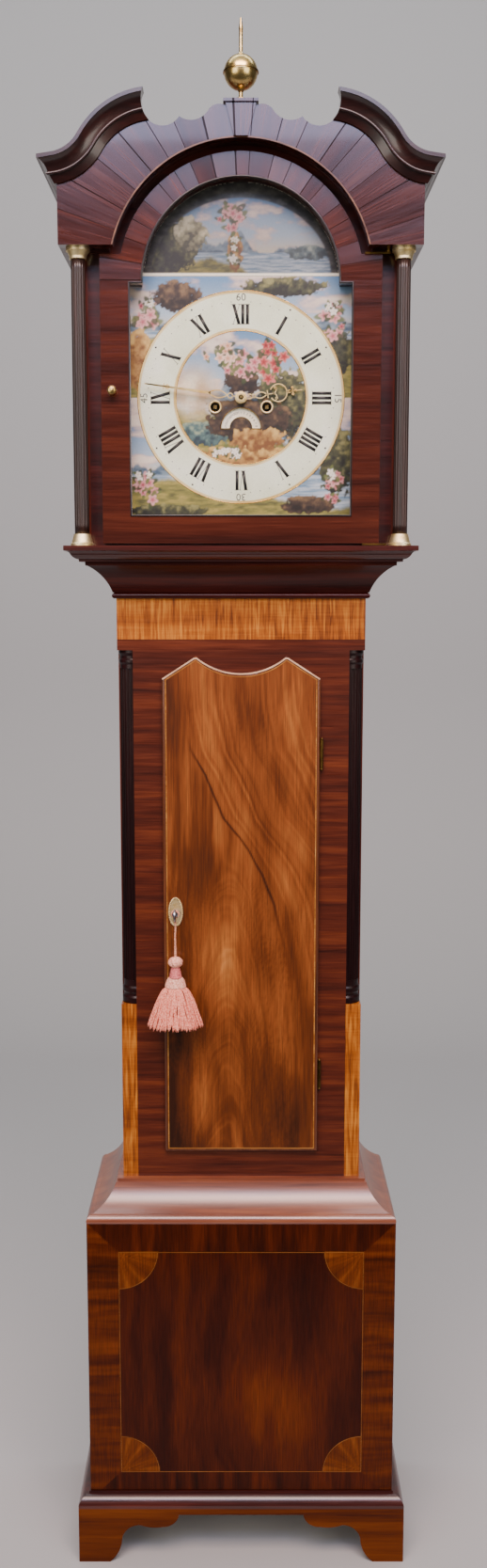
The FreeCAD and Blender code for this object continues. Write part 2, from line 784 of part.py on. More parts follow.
def backboard():
    """One tall board behind the whole clock, wider in the base and inside the hood."""
    ear = side_half - SIDE_BOARD - 1.0
    z_ear = z_hood + 1.0
    z_top = z_roof - 1.0
    arch = ROOF_R - 1.0
    reach = math.sqrt(arch**2 - (z_top - z_arch) ** 2)
    shape = symmetric(
        (base_half, z_base), (base_half, z_waist), (trunk_half, z_waist), (trunk_half, z_ear),
        (ear, z_ear), (ear, z_top), (reach, z_top), crown=(0.0, z_arch + arch),
    )
    return [slab(shape, y_inside, y_back)]


def quarter_columns():
    """A fluted quarter column let into each front corner of the trunk."""
    z0 = z_trunk + LOWER_BLOCK
    z1 = z_throat - FRIEZE - UPPER_BLOCK
    x = trunk_half - CORNER_R
    shaft = CORNER_R - CORNER_SHAFT_IN
    bead = CORNER_R - CORNER_SHAFT_IN / 4
    ring = CORNER_RING
    column = turned(
        x, y_frame, 90,
        (0.0, z0), (CORNER_R, z0), (CORNER_R, z0 + 1.5 * ring), (shaft, z0 + 2 * ring),
        (shaft, z0 + 2.5 * ring), (bead, z0 + 3 * ring), (bead, z0 + 4 * ring), (shaft, z0 + 4.5 * ring),
        (shaft, z1 - 3.5 * ring), (bead, z1 - 3 * ring), (bead, z1 - 2.4 * ring), (shaft, z1 - 2 * ring),
        (shaft, z1 - 1.4 * ring), (CORNER_R, z1 - 0.7 * ring), (CORNER_R, z1), (0.0, z1),
    )
    flutes = []
    for k in range(FLUTES):
        angle = math.radians(90.0 * (k + 1) / (FLUTES + 1))
        fx = x + shaft * math.sin(angle)
        fy = y_frame - shaft * math.cos(angle)
        flutes.append(post(fx, fy, FLUTE_R, z0 + 6 * ring, z1 - 4.5 * ring))
    return both(column.cut(flutes))


def maple_panels():
    """The pale frieze across the trunk's top and the pale blocks under the corner columns."""
    frieze = board(-trunk_half, trunk_half, y_trunk, y_frame, z_throat - FRIEZE, z_ledge)
    block = board(trunk_half - CORNER_R, trunk_half, y_trunk, y_frame, z_waist, z_trunk + LOWER_BLOCK)
    return [frieze] + both(block)


def throat_moulding():
    top = THROAT_HEIGHT
    out = ledge_in - trunk_half + THROAT_LAP
    return [
        moulding(
            trunk_half, y_trunk, y_back, z_throat,
            (0.0, 0.0), (2.5, 0.0), ((6.0, 4.0), (2.5, 8.0)), (5.0, 9.0),
            ((0.4 * out, 0.56 * top), (out - 2.0, top - 5.0)), (out, top - 5.0), (out, top), (0.0, top),
        )
    ]


def seatboard():
    """The board that the movement stands on, with holes for the lines."""
    y0 = y_front_plate - SEATBOARD_FRONT
    y1 = y_back_plate + SEATBOARD_BACK
    plank = board(-trunk_half, trunk_half, y0, y1, z_seat - SEATBOARD, z_seat)
    holes = []
    for x in (WINDING_X, -WINDING_X):
        strand, tied = line_places(x)
        holes.append(post(strand, barrel_y(), LINE_R + 2.0, z_seat - SEATBOARD, z_seat))
        holes.append(post(tied, barrel_y(), LINE_R + AIR, z_seat - SEATBOARD, z_seat))
    return [plank.cut(holes)]


def barrel_y():
    """The middle of the barrels, where their lines come off."""
    return y_between + BARREL_AT + BARREL_LENGTH / 2


def line_places(x):
    """A weight's line falls from the left of its barrel, goes round a pulley and is tied to the seatboard."""
    strand = x - BARREL_R - LINE_R
    return strand, strand + 2 * PULLEY_R


def wheel_places():
    """The arbors of the going train, from the third wheel's two distances."""
    z = (CENTRE_TO_THIRD**2 - THIRD_TO_ESCAPE**2 + CENTRE_TO_ESCAPE**2) / (2 * CENTRE_TO_ESCAPE)
    x = math.sqrt(CENTRE_TO_THIRD**2 - z**2)
    return {
        "centre": (0.0, z_dial),
        "third": (x, z_dial + z),
        "escape": (0.0, z_dial + CENTRE_TO_ESCAPE),
        "pallets": (0.0, z_dial + CENTRE_TO_ESCAPE + ESCAPE_TO_PALLETS),
        "minute": (0.0, z_dial + CENTRE_TO_MINUTE),
        "going": (WINDING_X, z_dial - WINDING_DROP),
        "strike": (-WINDING_X, z_dial - WINDING_DROP),
        "hammer": (HAMMER_X, z_dial + HAMMER_UP),
    }


def toothed(place, teeth, radius, phase, y0, y1, leaves=False):
    """A wheel with pointed teeth, or a pinion with narrow leaves, on its pitch radius."""
    pitch = 2 * math.pi / teeth
    module = 2 * radius / teeth
    root = radius - (1.3 if leaves else 1.15) * module
    tip = radius + (0.55 if leaves else 0.95) * module
    root_half = (0.15 if leaves else 0.30) * pitch
    tip_half = (0.07 if leaves else 0.0) * pitch
    points = []
    for k in range(teeth):
        middle = phase + k * pitch
        corners = [(root, middle - root_half), (tip, middle - tip_half), (root, middle + root_half)]
        if leaves:
            corners.insert(2, (tip, middle + tip_half))
        points += [(place[0] + r * math.cos(a), place[1] + r * math.sin(a)) for r, a in corners]
    return slab(outline(*points), y0, y1)


def meshing(from_place, to_place, teeth, other_teeth, phase):
    """The phase that puts a second wheel's gaps opposite the first wheel's teeth."""
    line = math.atan2(to_place[1] - from_place[1], to_place[0] - from_place[0])
    return line + math.pi + math.pi / other_teeth + (line - phase) * teeth / other_teeth


def crossings(place, hub, rim, spokes, y0, y1):
    """The openings between the spokes of a wheel."""
    windows = []
    for k in range(spokes):
        start = 2 * math.pi * k / spokes
        end = start + 2 * math.pi / spokes
        inner = WHEEL_SPOKE / 2 / hub
        outer = WHEEL_SPOKE / 2 / rim
        middle = (start + end) / 2
        corners = [
            (hub, start + inner), (rim, start + outer), (rim, middle), (rim, end - outer), (hub, end - inner)
        ]
        points = [(place[0] + r * math.cos(a), place[1] + r * math.sin(a)) for r, a in corners]
        windows.append(slab(outline(*points), y0, y1))
    return windows


def arbor(place):
    """A steel arbor between the plates, with a pivot in each."""
    x, z = place
    y0 = y_between + END_SHAKE
    y1 = y_back_plate - END_SHAKE
    front = rod(x, z, PIVOT_PIN_R, y_front_plate, y0)
    back = rod(x, z, PIVOT_PIN_R, y1, y_back_plate + PLATE_THICK)
    return joined(rod(x, z, ARBOR_R, y0, y1), front, back)


def train_layers():
    """Where each wheel of the going train stands between the plates."""
    return {
        "centre_wheel": y_between + CENTRE_WHEEL_AT,
        "third_wheel": y_between + THIRD_WHEEL_AT,
        "escape_wheel": y_between + ESCAPE_WHEEL_AT,
        "great_wheel": barrel_y() + BARREL_LENGTH / 2 + WHEEL_THICK / 2,
    }


def train_radii():
    """Pitch radii, shared out between the two wheels of each pair by their teeth."""
    reach = math.hypot(WINDING_X, WINDING_DROP)
    return {
        "great": reach * GREAT_TEETH / (GREAT_TEETH + CENTRE_LEAVES),
        "centre_pinion": reach * CENTRE_LEAVES / (GREAT_TEETH + CENTRE_LEAVES),
        "centre": CENTRE_TO_THIRD * CENTRE_TEETH / (CENTRE_TEETH + THIRD_LEAVES),
        "third_pinion": CENTRE_TO_THIRD * THIRD_LEAVES / (CENTRE_TEETH + THIRD_LEAVES),
        "third": THIRD_TO_ESCAPE * THIRD_TEETH / (THIRD_TEETH + ESCAPE_LEAVES),
        "escape_pinion": THIRD_TO_ESCAPE * ESCAPE_LEAVES / (THIRD_TEETH + ESCAPE_LEAVES),
        "cannon": CENTRE_TO_MINUTE / 2,
        "minute_pinion": CENTRE_TO_MINUTE * MINUTE_LEAVES / (MINUTE_LEAVES + HOUR_TEETH),
        "hour": CENTRE_TO_MINUTE * HOUR_TEETH / (MINUTE_LEAVES + HOUR_TEETH),
    }


def train_phases():
    """The turn of every wheel, so that each pair is in mesh."""
    place = wheel_places()
    great = 0.0
    centre_pinion = meshing(place["going"], place["centre"], GREAT_TEETH, CENTRE_LEAVES, great)
    third_pinion = meshing(place["centre"], place["third"], CENTRE_TEETH, THIRD_LEAVES, 0.0)
    escape_pinion = meshing(place["third"], place["escape"], THIRD_TEETH, ESCAPE_LEAVES, 0.0)
    minute = meshing(place["centre"], place["minute"], CANNON_TEETH, CANNON_TEETH, 0.0)
    hour = meshing(place["minute"], place["centre"], MINUTE_LEAVES, HOUR_TEETH, 0.0)
    return {
        "great": great,
        "centre_pinion": centre_pinion,
        "third_pinion": third_pinion,
        "escape_pinion": escape_pinion,
        "minute": minute,
        "hour": hour,
    }


def crossed_wheel(place, teeth, radius, phase, y0):
    """A brass wheel with four spokes."""
    wheel = toothed(place, teeth, radius, phase, y0, y0 + WHEEL_THICK)
    rim = radius - WHEEL_SPOKE
    return wheel.cut(crossings(place, radius * 0.28, rim, 4, y0, y0 + WHEEL_THICK))


def movement_plates():
    """Front and back plates, held apart by four riveted pillars."""
    x = PLATE_WIDTH / 2
    z0 = z_seat
    z1 = z_seat + PLATE_HEIGHT
    place = wheel_places()
    plates = []
    for y in (y_front_plate, y_back_plate):
        plate = board(-x, x, y, y + PLATE_THICK, z0, z1)
        bores = {
            "third": PIVOT_PIN_R + RUNNING,
            "escape": PIVOT_PIN_R + RUNNING,
            "hammer": PIVOT_PIN_R + RUNNING,
            "going": BARREL_ARBOR_R + RUNNING,
            "strike": BARREL_ARBOR_R + RUNNING,
            "centre": CENTRE_ARBOR_R + RUNNING,
            "pallets": PIVOT_PIN_R + RUNNING if y == y_front_plate else PILLAR_R,
        }
        holes = [rod(*place[name], radius, y, y + PLATE_THICK) for name, radius in bores.items()]
        plates.append(plate.cut(holes))
    pillars = []
    for px in (-x + PILLAR_IN, x - PILLAR_IN):
        for pz in (z0 + PILLAR_LOW, z0 + PILLAR_HIGH):
            pillars.append(rod(px, pz, PILLAR_R, y_between, y_back_plate))
    minute_x, minute_z = place["minute"]
    stud = rod(minute_x, minute_z, PIVOT_PIN_R, y_front_plate - STUD_LENGTH, y_front_plate)
    return [joined(plates[0], stud), plates[1]] + pillars


def back_cock():
    """The bracket behind the back plate, which carries the pallets' rear pivot and the pendulum."""
    x, z = wheel_places()["pallets"]
    y0 = y_back_plate + PLATE_THICK
    y1 = y0 + COCK_OUT
    y2 = y1 + COCK_PLATE
    low = z - COCK_RISE
    high = z + COCK_RISE
    bridge = board(-COCK_HALF, COCK_HALF, y1, y2, low, high)
    legs = both(board(COCK_HALF - COCK_LEG, COCK_HALF, y0, y1, low, high))
    y_end = y_pendulum + SUSPENSION
    tongue = board(-1.5 * COCK_LEG, 1.5 * COCK_LEG, y2, y_end, high - COCK_LEG, high)
    slot = board(-COCK_LEG / 4, COCK_LEG / 4, y_pendulum - COCK_LEG, y_end, high - COCK_LEG, high)
    pivot = rod(x, z, PIVOT_PIN_R + RUNNING, y1, y2)
    return [joined(bridge, *legs, tongue).cut([slot, pivot])]


def dial_plate():
    """The painted iron dial, with its date opening, winding holes and four feet."""
    shape = break_arch(DIAL_WIDTH / 2, z_hood + DIAL_BOTTOM, z_hood + DIAL_SHOULDER, DIAL_ARCH)
    plate = slab(shape, y_dial, y_dial + DIAL_PLATE)
    place = wheel_places()
    holes = [rod(0.0, z_dial, DIAL_CENTRE_HOLE_R, y_dial, y_dial + DIAL_PLATE)]
    holes += [rod(*place[name], WINDING_HOLE_R, y_dial, y_dial + DIAL_PLATE) for name in ("going", "strike")]
    z = z_dial - DATE_DROP
    window = outline(
        (DATE_INNER_R, z), (DATE_OUTER_R, z), ((0.0, z + DATE_OUTER_R), (-DATE_OUTER_R, z)),
        (-DATE_INNER_R, z), ((0.0, z + DATE_INNER_R), (DATE_INNER_R, z)),
    )
    plate = plate.cut(holes + [slab(window, y_dial, y_dial + DIAL_PLATE)])
    feet = []
    behind = y_dial + DIAL_PLATE
    for up in (DIAL_FOOT_LOW, DIAL_FOOT_HIGH):
        feet += both(rod(PLATE_WIDTH / 2 - DIAL_FOOT_IN, z_seat + up, DIAL_FOOT_R, behind, y_front_plate))
    date_stud = rod(0.0, z, DATE_STUD_R, behind, behind + DATE_STUD)
    return [joined(plate, date_stud, *feet)]


def date_disc():
    """The date disc, which turns on a stud behind the dial."""
    z = z_dial - DATE_DROP
    y0 = y_dial + DIAL_PLATE + END_SHAKE
    disc = rod(0.0, z, DATE_DISC_R, y0, y0 + DATE_DISC)
    return [disc.cut(rod(0.0, z, DATE_STUD_R + RUNNING, y0, y0 + DATE_DISC))]


def hand_shape(length, loops, y):
    """A pierced hand that points up: a collet, a chain of rings on a tapered shaft, and a point."""
    z = z_dial
    solids = [rod(0.0, z, HAND_COLLET_R, y, y + HAND_THICK)]
    shaft = outline((-1.9, z), (1.9, z), (0.7, z + length), (-0.7, z + length))
    solids.append(slab(shaft, y, y + HAND_THICK))
    for out, radius, side in loops:
        for sign in ((-1, 1) if side else (1,)):
            ring = rod(sign * side, z + out, radius, y, y + HAND_THICK)
            solids.append(ring.cut(rod(sign * side, z + out, radius - HAND_RING, y, y + HAND_THICK)))
    return joined(*solids)


def pointed(solid, share_of_turn):
    solid.rotate(FreeCAD.Vector(0, 0, z_dial), FreeCAD.Vector(0, 1, 0), 360.0 * share_of_turn)
    return solid


def hand_layers():
    """The hour hand, then the minute hand, in front of the dial."""
    hour = y_dial - HAND_GAP
    return hour, hour - HAND_GAP


def minute_hand():
    _, y = hand_layers()
    loops = ((14.0, 7.0, 0.0), (26.0, 5.0, 0.0), (MINUTE_HAND - 30.0, 3.0, 3.6))
    hand = hand_shape(MINUTE_HAND, loops, y)
    bore = rod(0.0, z_dial, cannon_r(), y, y + HAND_THICK)
    return [pointed(hand.cut(bore), MINUTES_SHOWN / 60)]


def hour_hand():
    y, _ = hand_layers()
    loops = ((14.0, 6.5, 0.0), (34.0, 7.0, 7.2), (52.0, 6.0, 6.2), (66.0, 4.0, 5.0))
    hand = hand_shape(HOUR_HAND, loops, y)
    bore = rod(0.0, z_dial, hour_pipe_r(), y, y + HAND_THICK)
    return [pointed(hand.cut(bore), (HOURS_SHOWN + MINUTES_SHOWN / 60) / 12)]


def cannon_r():
    """Outside of the pipe that carries the minute hand."""
    return CENTRE_ARBOR_R + RUNNING + HAND_PIPE


def hour_pipe_r():
    """Outside of the pipe that carries the hour hand, round the minute hand's pipe."""
    return cannon_r() + RUNNING + HAND_PIPE


def cannon_pinion():
    """The pipe on the centre arbor: it carries the minute hand and drives the minute wheel."""
    _, y_hand = hand_layers()
    place = wheel_places()["centre"]
    y1 = y_front_plate - END_SHAKE
    pipe = rod(*place, cannon_r(), y_hand, y1)
    y0 = y1 - MOTION_WHEEL_AT
    wheel = toothed(place, CANNON_TEETH, train_radii()["cannon"], 0.0, y0, y0 + WHEEL_THICK)
    return [joined(pipe, wheel).cut(rod(*place, CENTRE_ARBOR_R + RUNNING, y_hand, y1))]


def hour_wheel():
    """The hour wheel on its pipe, which carries the hour hand."""
    y_hand, _ = hand_layers()
    place = wheel_places()["centre"]
    y0 = y_front_plate - HOUR_WHEEL_AT
    wheel = toothed(place, HOUR_TEETH, train_radii()["hour"], train_phases()["hour"], y0, y0 + WHEEL_THICK)
    pipe = rod(*place, hour_pipe_r(), y_hand, y0 + WHEEL_THICK)
    return [joined(wheel, pipe).cut(rod(*place, cannon_r() + RUNNING, y_hand, y0 + WHEEL_THICK))]


def minute_wheel():
    """The minute wheel and its pinion, which turn on a stud in the front plate."""
    place = wheel_places()["minute"]
    y1 = y_front_plate - END_SHAKE
    y0 = y_front_plate - HOUR_WHEEL_AT - WHEEL_THICK / 2
    y_wheel = y1 - MOTION_WHEEL_AT
    radii = train_radii()
    phase = train_phases()["minute"]
    wheel = toothed(place, CANNON_TEETH, radii["cannon"], phase, y_wheel, y_wheel + WHEEL_THICK)
    pinion = toothed(place, MINUTE_LEAVES, radii["minute_pinion"], 0.0, y0, y_wheel, leaves=True)
    return [joined(wheel, pinion).cut(rod(*place, PIVOT_PIN_R + RUNNING, y0, y1))]


def centre_wheel():
    """The centre arbor with its pinion and wheel. Its front end carries the cannon pinion."""
    place = wheel_places()["centre"]
    layers = train_layers()
    radii = train_radii()
    _, y_hand = hand_layers()
    wheel = crossed_wheel(place, CENTRE_TEETH, radii["centre"], 0.0, layers["centre_wheel"])
    y_pinion = layers["great_wheel"] - PINION_LEAD
    pinion = toothed(
        place, CENTRE_LEAVES, radii["centre_pinion"], train_phases()["centre_pinion"],
        y_pinion, y_pinion + PINION_LENGTH, leaves=True,
    )
    shaft = rod(*place, CENTRE_ARBOR_R, y_hand - 2.5, y_back_plate + PLATE_THICK)
    return [joined(shaft, wheel, pinion)]


def third_wheel():
    place = wheel_places()["third"]
    layers = train_layers()
    radii = train_radii()
    y_pinion = layers["centre_wheel"] - PINION_LEAD
    pinion = toothed(
        place, THIRD_LEAVES, radii["third_pinion"], train_phases()["third_pinion"],
        y_pinion, y_pinion + PINION_LENGTH, leaves=True,
    )
    wheel = crossed_wheel(place, THIRD_TEETH, radii["third"], 0.0, layers["third_wheel"])
    return [joined(arbor(place), wheel, pinion)]


def escape_wheel():
    """The escape wheel: thin undercut teeth on a crossed rim, and a pinion on its arbor."""
    place = wheel_places()["escape"]
    layers = train_layers()
    radii = train_radii()
    y_pinion = layers["third_wheel"] - PINION_LEAD
    pinion = toothed(
        place, ESCAPE_LEAVES, radii["escape_pinion"], train_phases()["escape_pinion"],
        y_pinion, y_pinion + PINION_LENGTH, leaves=True,
    )
    pitch = 2 * math.pi / ESCAPE_TEETH
    root = ESCAPE_R - 3.6
    points = []
    for k in range(ESCAPE_TEETH):
        for r, share in ((root, 0.0), (ESCAPE_R, 0.10), (root, 0.42)):
            angle = (k + share) * pitch
            points.append((place[0] + r * math.cos(angle), place[1] + r * math.sin(angle)))
    y0 = layers["escape_wheel"]
    wheel = slab(outline(*points), y0, y0 + WHEEL_THICK)
    wheel = wheel.cut(crossings(place, 5.0, root - 2.0, 4, y0, y0 + WHEEL_THICK))
    return [joined(arbor(place), wheel, pinion)]


def pallets():
    """The anchor over the escape wheel, its arbor, and the crutch behind the back plate."""
    x, z = wheel_places()["pallets"]
    _, z_escape = wheel_places()["escape"]
    y0 = train_layers()["escape_wheel"]
    y_behind = y_back_plate + PLATE_THICK
    tip = ESCAPE_R + 1.6
    nib = (tip * math.sin(math.radians(48)), z_escape + tip * math.cos(math.radians(48)))
    anchor = symmetric(
        (3.0, z - 5.0), (nib[0] - 1.5, nib[1] + 3.0), (nib[0] + 0.4, nib[1]), (nib[0] + 3.0, nib[1] + 2.4),
        (nib[0] + 1.5, nib[1] + 9.0),
        (5.0, z + 5.0), crown=(0.0, z + 7.0),
    )
    body = slab(anchor, y0, y0 + WHEEL_THICK)
    shaft = joined(
        rod(x, z, ARBOR_R, y_between + END_SHAKE, y_behind + COCK_OUT - END_SHAKE),
        rod(x, z, PIVOT_PIN_R, y_front_plate, y_behind + COCK_OUT + COCK_PLATE),
    )
    arm_z = z - CRUTCH
    y_arm = y_behind + CRUTCH_WIDTH
    arm = board(-CRUTCH_WIDTH / 2, CRUTCH_WIDTH / 2, y_arm, y_arm + WHEEL_THICK, arm_z, z)
    gap = PENDULUM_ROD_R + AIR
    prong = gap + WHEEL_THICK
    y_end = y_pendulum + PENDULUM_ROD_R
    fork = board(-prong, prong, y_arm, y_end, arm_z - CRUTCH_WIDTH, arm_z)
    slot = board(-gap, gap, y_pendulum - gap, y_end, arm_z - CRUTCH_WIDTH, arm_z)
    return [joined(shaft, body, arm, fork.cut(slot))]


def pendulum_rod():
    """The pendulum's suspension spring, rod and rating screw."""
    _, z = wheel_places()["pallets"]
    y = y_pendulum
    z_bob = z - PENDULUM_LENGTH
    half = SUSPENSION / 2
    seat = z + SUSPENSION + AIR
    chop = board(-half, half, y - half, y + half, seat, seat + SUSPENSION)
    spring = board(-SUSPENSION / 32, SUSPENSION / 32, y - half, y + half, z - SUSPENSION, seat)
    block = board(-half, half, y - half, y + half, z - 2.5 * SUSPENSION, z - SUSPENSION)
    bar = post(0.0, y, PENDULUM_ROD_R, z_bob - BOB_R - PENDULUM_BELOW, z - 2.5 * SUSPENSION)
    nut_top = z_bob - BOB_R - BOB_FOOT
    nut = post(0.0, y, RATING_NUT_R, nut_top - SUSPENSION, nut_top)
    return [joined(chop, spring, block, bar, nut)]


def pendulum_bob():
    """A brass-faced lens of lead on the pendulum rod."""
    _, z = wheel_places()["pallets"]
    z_bob = z - PENDULUM_LENGTH
    half = BOB_THICK / 2
    foot = z_bob - BOB_R - BOB_FOOT
    lens = turned_knob(
        0.0, z_bob, y_pendulum,
        (0.0, -half), (BOB_R * 0.25, -half * 0.96), (BOB_R * 0.66, -half * 0.66), (BOB_R, -BOB_RIM),
        (BOB_R, BOB_RIM), (BOB_R * 0.66, half * 0.66), (BOB_R * 0.25, half * 0.96), (0.0, half),
    )
    seat = post(0.0, y_pendulum, half / 2, foot, foot + 2.5 * BOB_FOOT)
    hole = post(0.0, y_pendulum, PENDULUM_ROD_R, foot, z_bob + BOB_R)
    return [joined(lens, seat).cut(hole)]


def barrel(name):
    """A winding barrel on its arbor, with the square that the winding key turns."""
    place = wheel_places()[name]
    y0 = barrel_y() - BARREL_LENGTH / 2
    y1 = y0 + BARREL_LENGTH
    drum = rod(*place, BARREL_R, y0, y1)
    y_square = y_front_plate - STUD_LENGTH
    shaft = rod(*place, BARREL_ARBOR_R, y_square, y_back_plate + PLATE_THICK)
    half = WINDING_SQUARE / 2
    x, z = place
    square = board(x - half, x + half, y_dial - DIAL_PLATE, y_square, z - half, z + half)
    return [joined(drum, shaft, square)]


def great_wheel(name, teeth, radius):
    """The great wheel, which turns with the barrel on its arbor while the clock goes."""
    place = wheel_places()[name]
    y0 = train_layers()["great_wheel"]
    wheel = toothed(place, teeth, radius, 0.0, y0, y0 + WHEEL_THICK)
    wheel = wheel.cut(crossings(place, radius * 0.4, radius - 4.0, 4, y0, y0 + WHEEL_THICK))
    return [wheel.cut(rod(*place, BARREL_ARBOR_R + RUNNING, y0, y0 + WHEEL_THICK))]


def weight_levels():
    """Where a run-down weight hangs: its foot, its top and its pulley."""
    foot = z_waist + WEIGHT_FLOOR
    top = foot + WEIGHT_HEIGHT
    return foot, top, top + PULLEY_ABOVE


def weight(x):
    """A lead weight with its hook, stirrup and grooved pulley."""
    strand, tied = line_places(x)
    middle = (strand + tied) / 2
    y = barrel_y()
    foot, top, pulley = weight_levels()
    groove = PULLEY_R - LINE_R - AIR / 2
    flange = PULLEY_R + STIRRUP / 2
    edge = PULLEY_THICK / 2
    side = edge + AIR
    outside = side + STIRRUP
    half = STIRRUP_WIDTH / 2
    seat = top + STIRRUP_WIDTH
    body = turned(
        middle, y, 360, (0.0, foot), (WEIGHT_R - 3.0, foot), (WEIGHT_R, foot + 3.0), (WEIGHT_R, top - 4.0),
        ((WEIGHT_R - 1.5, top - 1.5), (WEIGHT_R - 4.0, top)), (0.0, top),
    )
    cheeks = []
    for y0 in (y - outside, y + side):
        cheeks.append(board(middle - half, middle + half, y0, y0 + STIRRUP, seat, pulley + half))
    yoke = board(middle - half, middle + half, y - outside, y + outside, seat - STIRRUP, seat)
    stem = post(middle, y, half, top, seat - STIRRUP)
    pin = rod(middle, pulley, STIRRUP, y - outside, y + outside)
    wheel = turned_knob(
        middle, pulley, y,
        (0.0, -edge), (flange, -edge), (groove, -LINE_R - AIR), (groove, LINE_R + AIR), (flange, edge),
        (0.0, edge),
    )
    bore = rod(middle, pulley, STIRRUP, y - side, y + side)
    return [joined(body, stem, yoke, pin, *cheeks), wheel.cut(bore)]


def weight_line(x):
    """A gut line: from the barrel, down round the pulley, and up to the seatboard."""
    strand, tied = line_places(x)
    middle = (strand + tied) / 2
    y = barrel_y()
    _, _, pulley = weight_levels()
    barrel_z = z_dial - WINDING_DROP
    falling = post(strand, y, LINE_R, pulley, barrel_z)
    rising = post(tied, y, LINE_R, pulley, z_seat)
    bend = wire_ring(PULLEY_R, LINE_R, 180)
    bend.rotate(FreeCAD.Vector(0, 0, 0), FreeCAD.Vector(1, 0, 0), -90)
    bend.translate(FreeCAD.Vector(middle, y, pulley))
    knot = post(tied, y, LINE_R * 2.4, z_seat, z_seat + LINE_R * 4)
    return [joined(falling, bend, rising, knot)]


def bell():
    """The hour bell over the movement, on a stand from the back plate."""
    plate_top = z_seat + PLATE_HEIGHT
    z0 = plate_top + BELL_ABOVE
    top = z0 + BELL_HEIGHT
    y = (y_between + y_back_plate) / 2
    y1 = y_back_plate + PLATE_THICK
    shares = ((1.0, 0.0), (0.9, 0.4), (0.68, 0.78), (0.3, 0.97))
    inner = BELL_R - BELL_WALL
    depth = BELL_HEIGHT - BELL_WALL
    outside = [(BELL_R * r, z0 + BELL_HEIGHT * s) for r, s in shares]
    inside = [(inner * r, z0 + depth * s) for r, s in reversed(shares)]
    cup = turned(0.0, y, 360, *outside, (0.0, top), (0.0, top - BELL_WALL), *inside)
    bar = plate_top + BELL_BAR
    stand = joined(
        board(-BELL_NUT_R, BELL_NUT_R, y_back_plate, y1, plate_top, bar),
        board(-BELL_NUT_R, BELL_NUT_R, y, y1, bar, bar + BELL_BAR),
        post(0.0, y, BELL_STAND_R, bar + BELL_BAR, top + BELL_NUT_R),
        post(0.0, y, BELL_NUT_R, top, top + BELL_BAR),
    )
    return [cup.cut(post(0.0, y, BELL_STAND_R, z0, top)), stand]


def hammer():
    """The bell hammer on its arbor, standing just clear of the bell's rim."""
    x, z = wheel_places()["hammer"]
    y = (y_between + y_back_plate) / 2
    head_z = z_seat + PLATE_HEIGHT + BELL_ABOVE + HAMMER_HEAD_R
    head_x = -BELL_R - HAMMER_HEAD_R - HAMMER_CLEAR
    half = HAMMER_STEM / 2
    stem = outline((x - half, z), (x + half, z), (head_x + half, head_z), (head_x - half, head_z))
    arm = slab(stem, y - half, y + half)
    head = rod(head_x, head_z, HAMMER_HEAD_R, y - HAMMER_HEAD / 2, y + HAMMER_HEAD / 2)
    return [joined(arbor((x, z)), arm, head)]


def hood_base_moulding():
    """The moulded ledge that the hood stands on. It slides forwards on the throat moulding."""
    out = ledge_width
    top = LEDGE_HEIGHT
    return [
        moulding(
            ledge_in, y_hood + out, y_back, z_ledge,
            (0.0, 0.0), (out - 19.5, 0.0), (out - 19.5, 3.0), ((out - 13.0, 5.5), (out - 9.0, 9.5)),
            ((out - 6.0, 13.5), (out, 15.0)), (out, top), (0.0, top),
        ).cut(pivot_holes())
    ]


def pivot_place():
    return HOOD_DOOR_WIDTH / 2 + PIVOT_OUT, y_hood_door + PIVOT_SET


def pivot_holes():
    """The sockets for the hood door's pivots, in the ledge below and in the frieze above."""
    x, y = pivot_place()
    reach = PIVOT_LENGTH + AIR
    radius = PIVOT_R + RUNNING
    return [post(x, y, radius, z_hood - reach, z_hood), post(x, y, radius, z_fascia, z_fascia + reach)]


def hood_carcass():
    """The hood's side boards and its roof, which rises in an arch over the dial."""
    side = board(side_half - SIDE_BOARD, side_half, y_mask, y_back, z_hood, z_roof)
    outer = ROOF_R + ROOF_THICK
    z_top = z_roof + SIDE_BOARD
    reach = math.sqrt(outer**2 - (z_top - z_arch) ** 2)
    roof = slab(
        symmetric((side_half, z_roof), (side_half, z_top), (reach, z_top), crown=(0.0, z_arch + outer)),
        y_fascia_back, y_back,
    )
    return both(side) + [roof.cut(rod(0.0, z_arch, ROOF_R, y_fascia_back, y_back))]


def mask_board():
    """The board inside the hood that frames the dial, behind the hood door."""
    half = side_half - SIDE_BOARD
    arch = ROOF_R - AIR
    reach = math.sqrt(arch**2 - (z_roof - z_arch) ** 2)
    shape = symmetric((half, z_hood), (half, z_roof), (reach, z_roof), crown=(0.0, z_arch + arch))
    opening = sight_outline(MASK_IN)
    return [slab(shape, y_mask, y_mask + MASK_THICK).cut(slab(opening, y_mask, y_mask + MASK_THICK))]


def swan_curve(lift=0.0):
    """The S of the swan neck, outer end first: two tangent arcs that turn by the same angle."""
    ends = [(hood_half, z_swan + lift), (SWAN_INNER, z_swan + SWAN_RISE + lift)]
    middle = ((ends[0][0] + ends[1][0]) / 2, (ends[0][1] + ends[1][1]) / 2)
    run = (ends[1][0] - ends[0][0], ends[1][1] - ends[0][1])
    chord = math.hypot(*run) / 2
    sag = chord / 2 * math.tan(math.radians(SWAN_TURN) / 4)
    normal = (run[1] / chord / 2, -run[0] / chord / 2)

    def bulge(first, second, sign):
        x = (first[0] + second[0]) / 2 + sign * sag * normal[0]
        return (x, (first[1] + second[1]) / 2 + sign * sag * normal[1])

    return ends[0], (bulge(ends[0], middle, -1), middle), (bulge(middle, ends[1], 1), ends[1])


def scoop_centre():
    """The middle of the round bite at a swan neck's inner end."""
    return SWAN_INNER - 0.8 * SCOOP_R, z_swan + SWAN_RISE + SCOOP_R - SCOOP_DROP


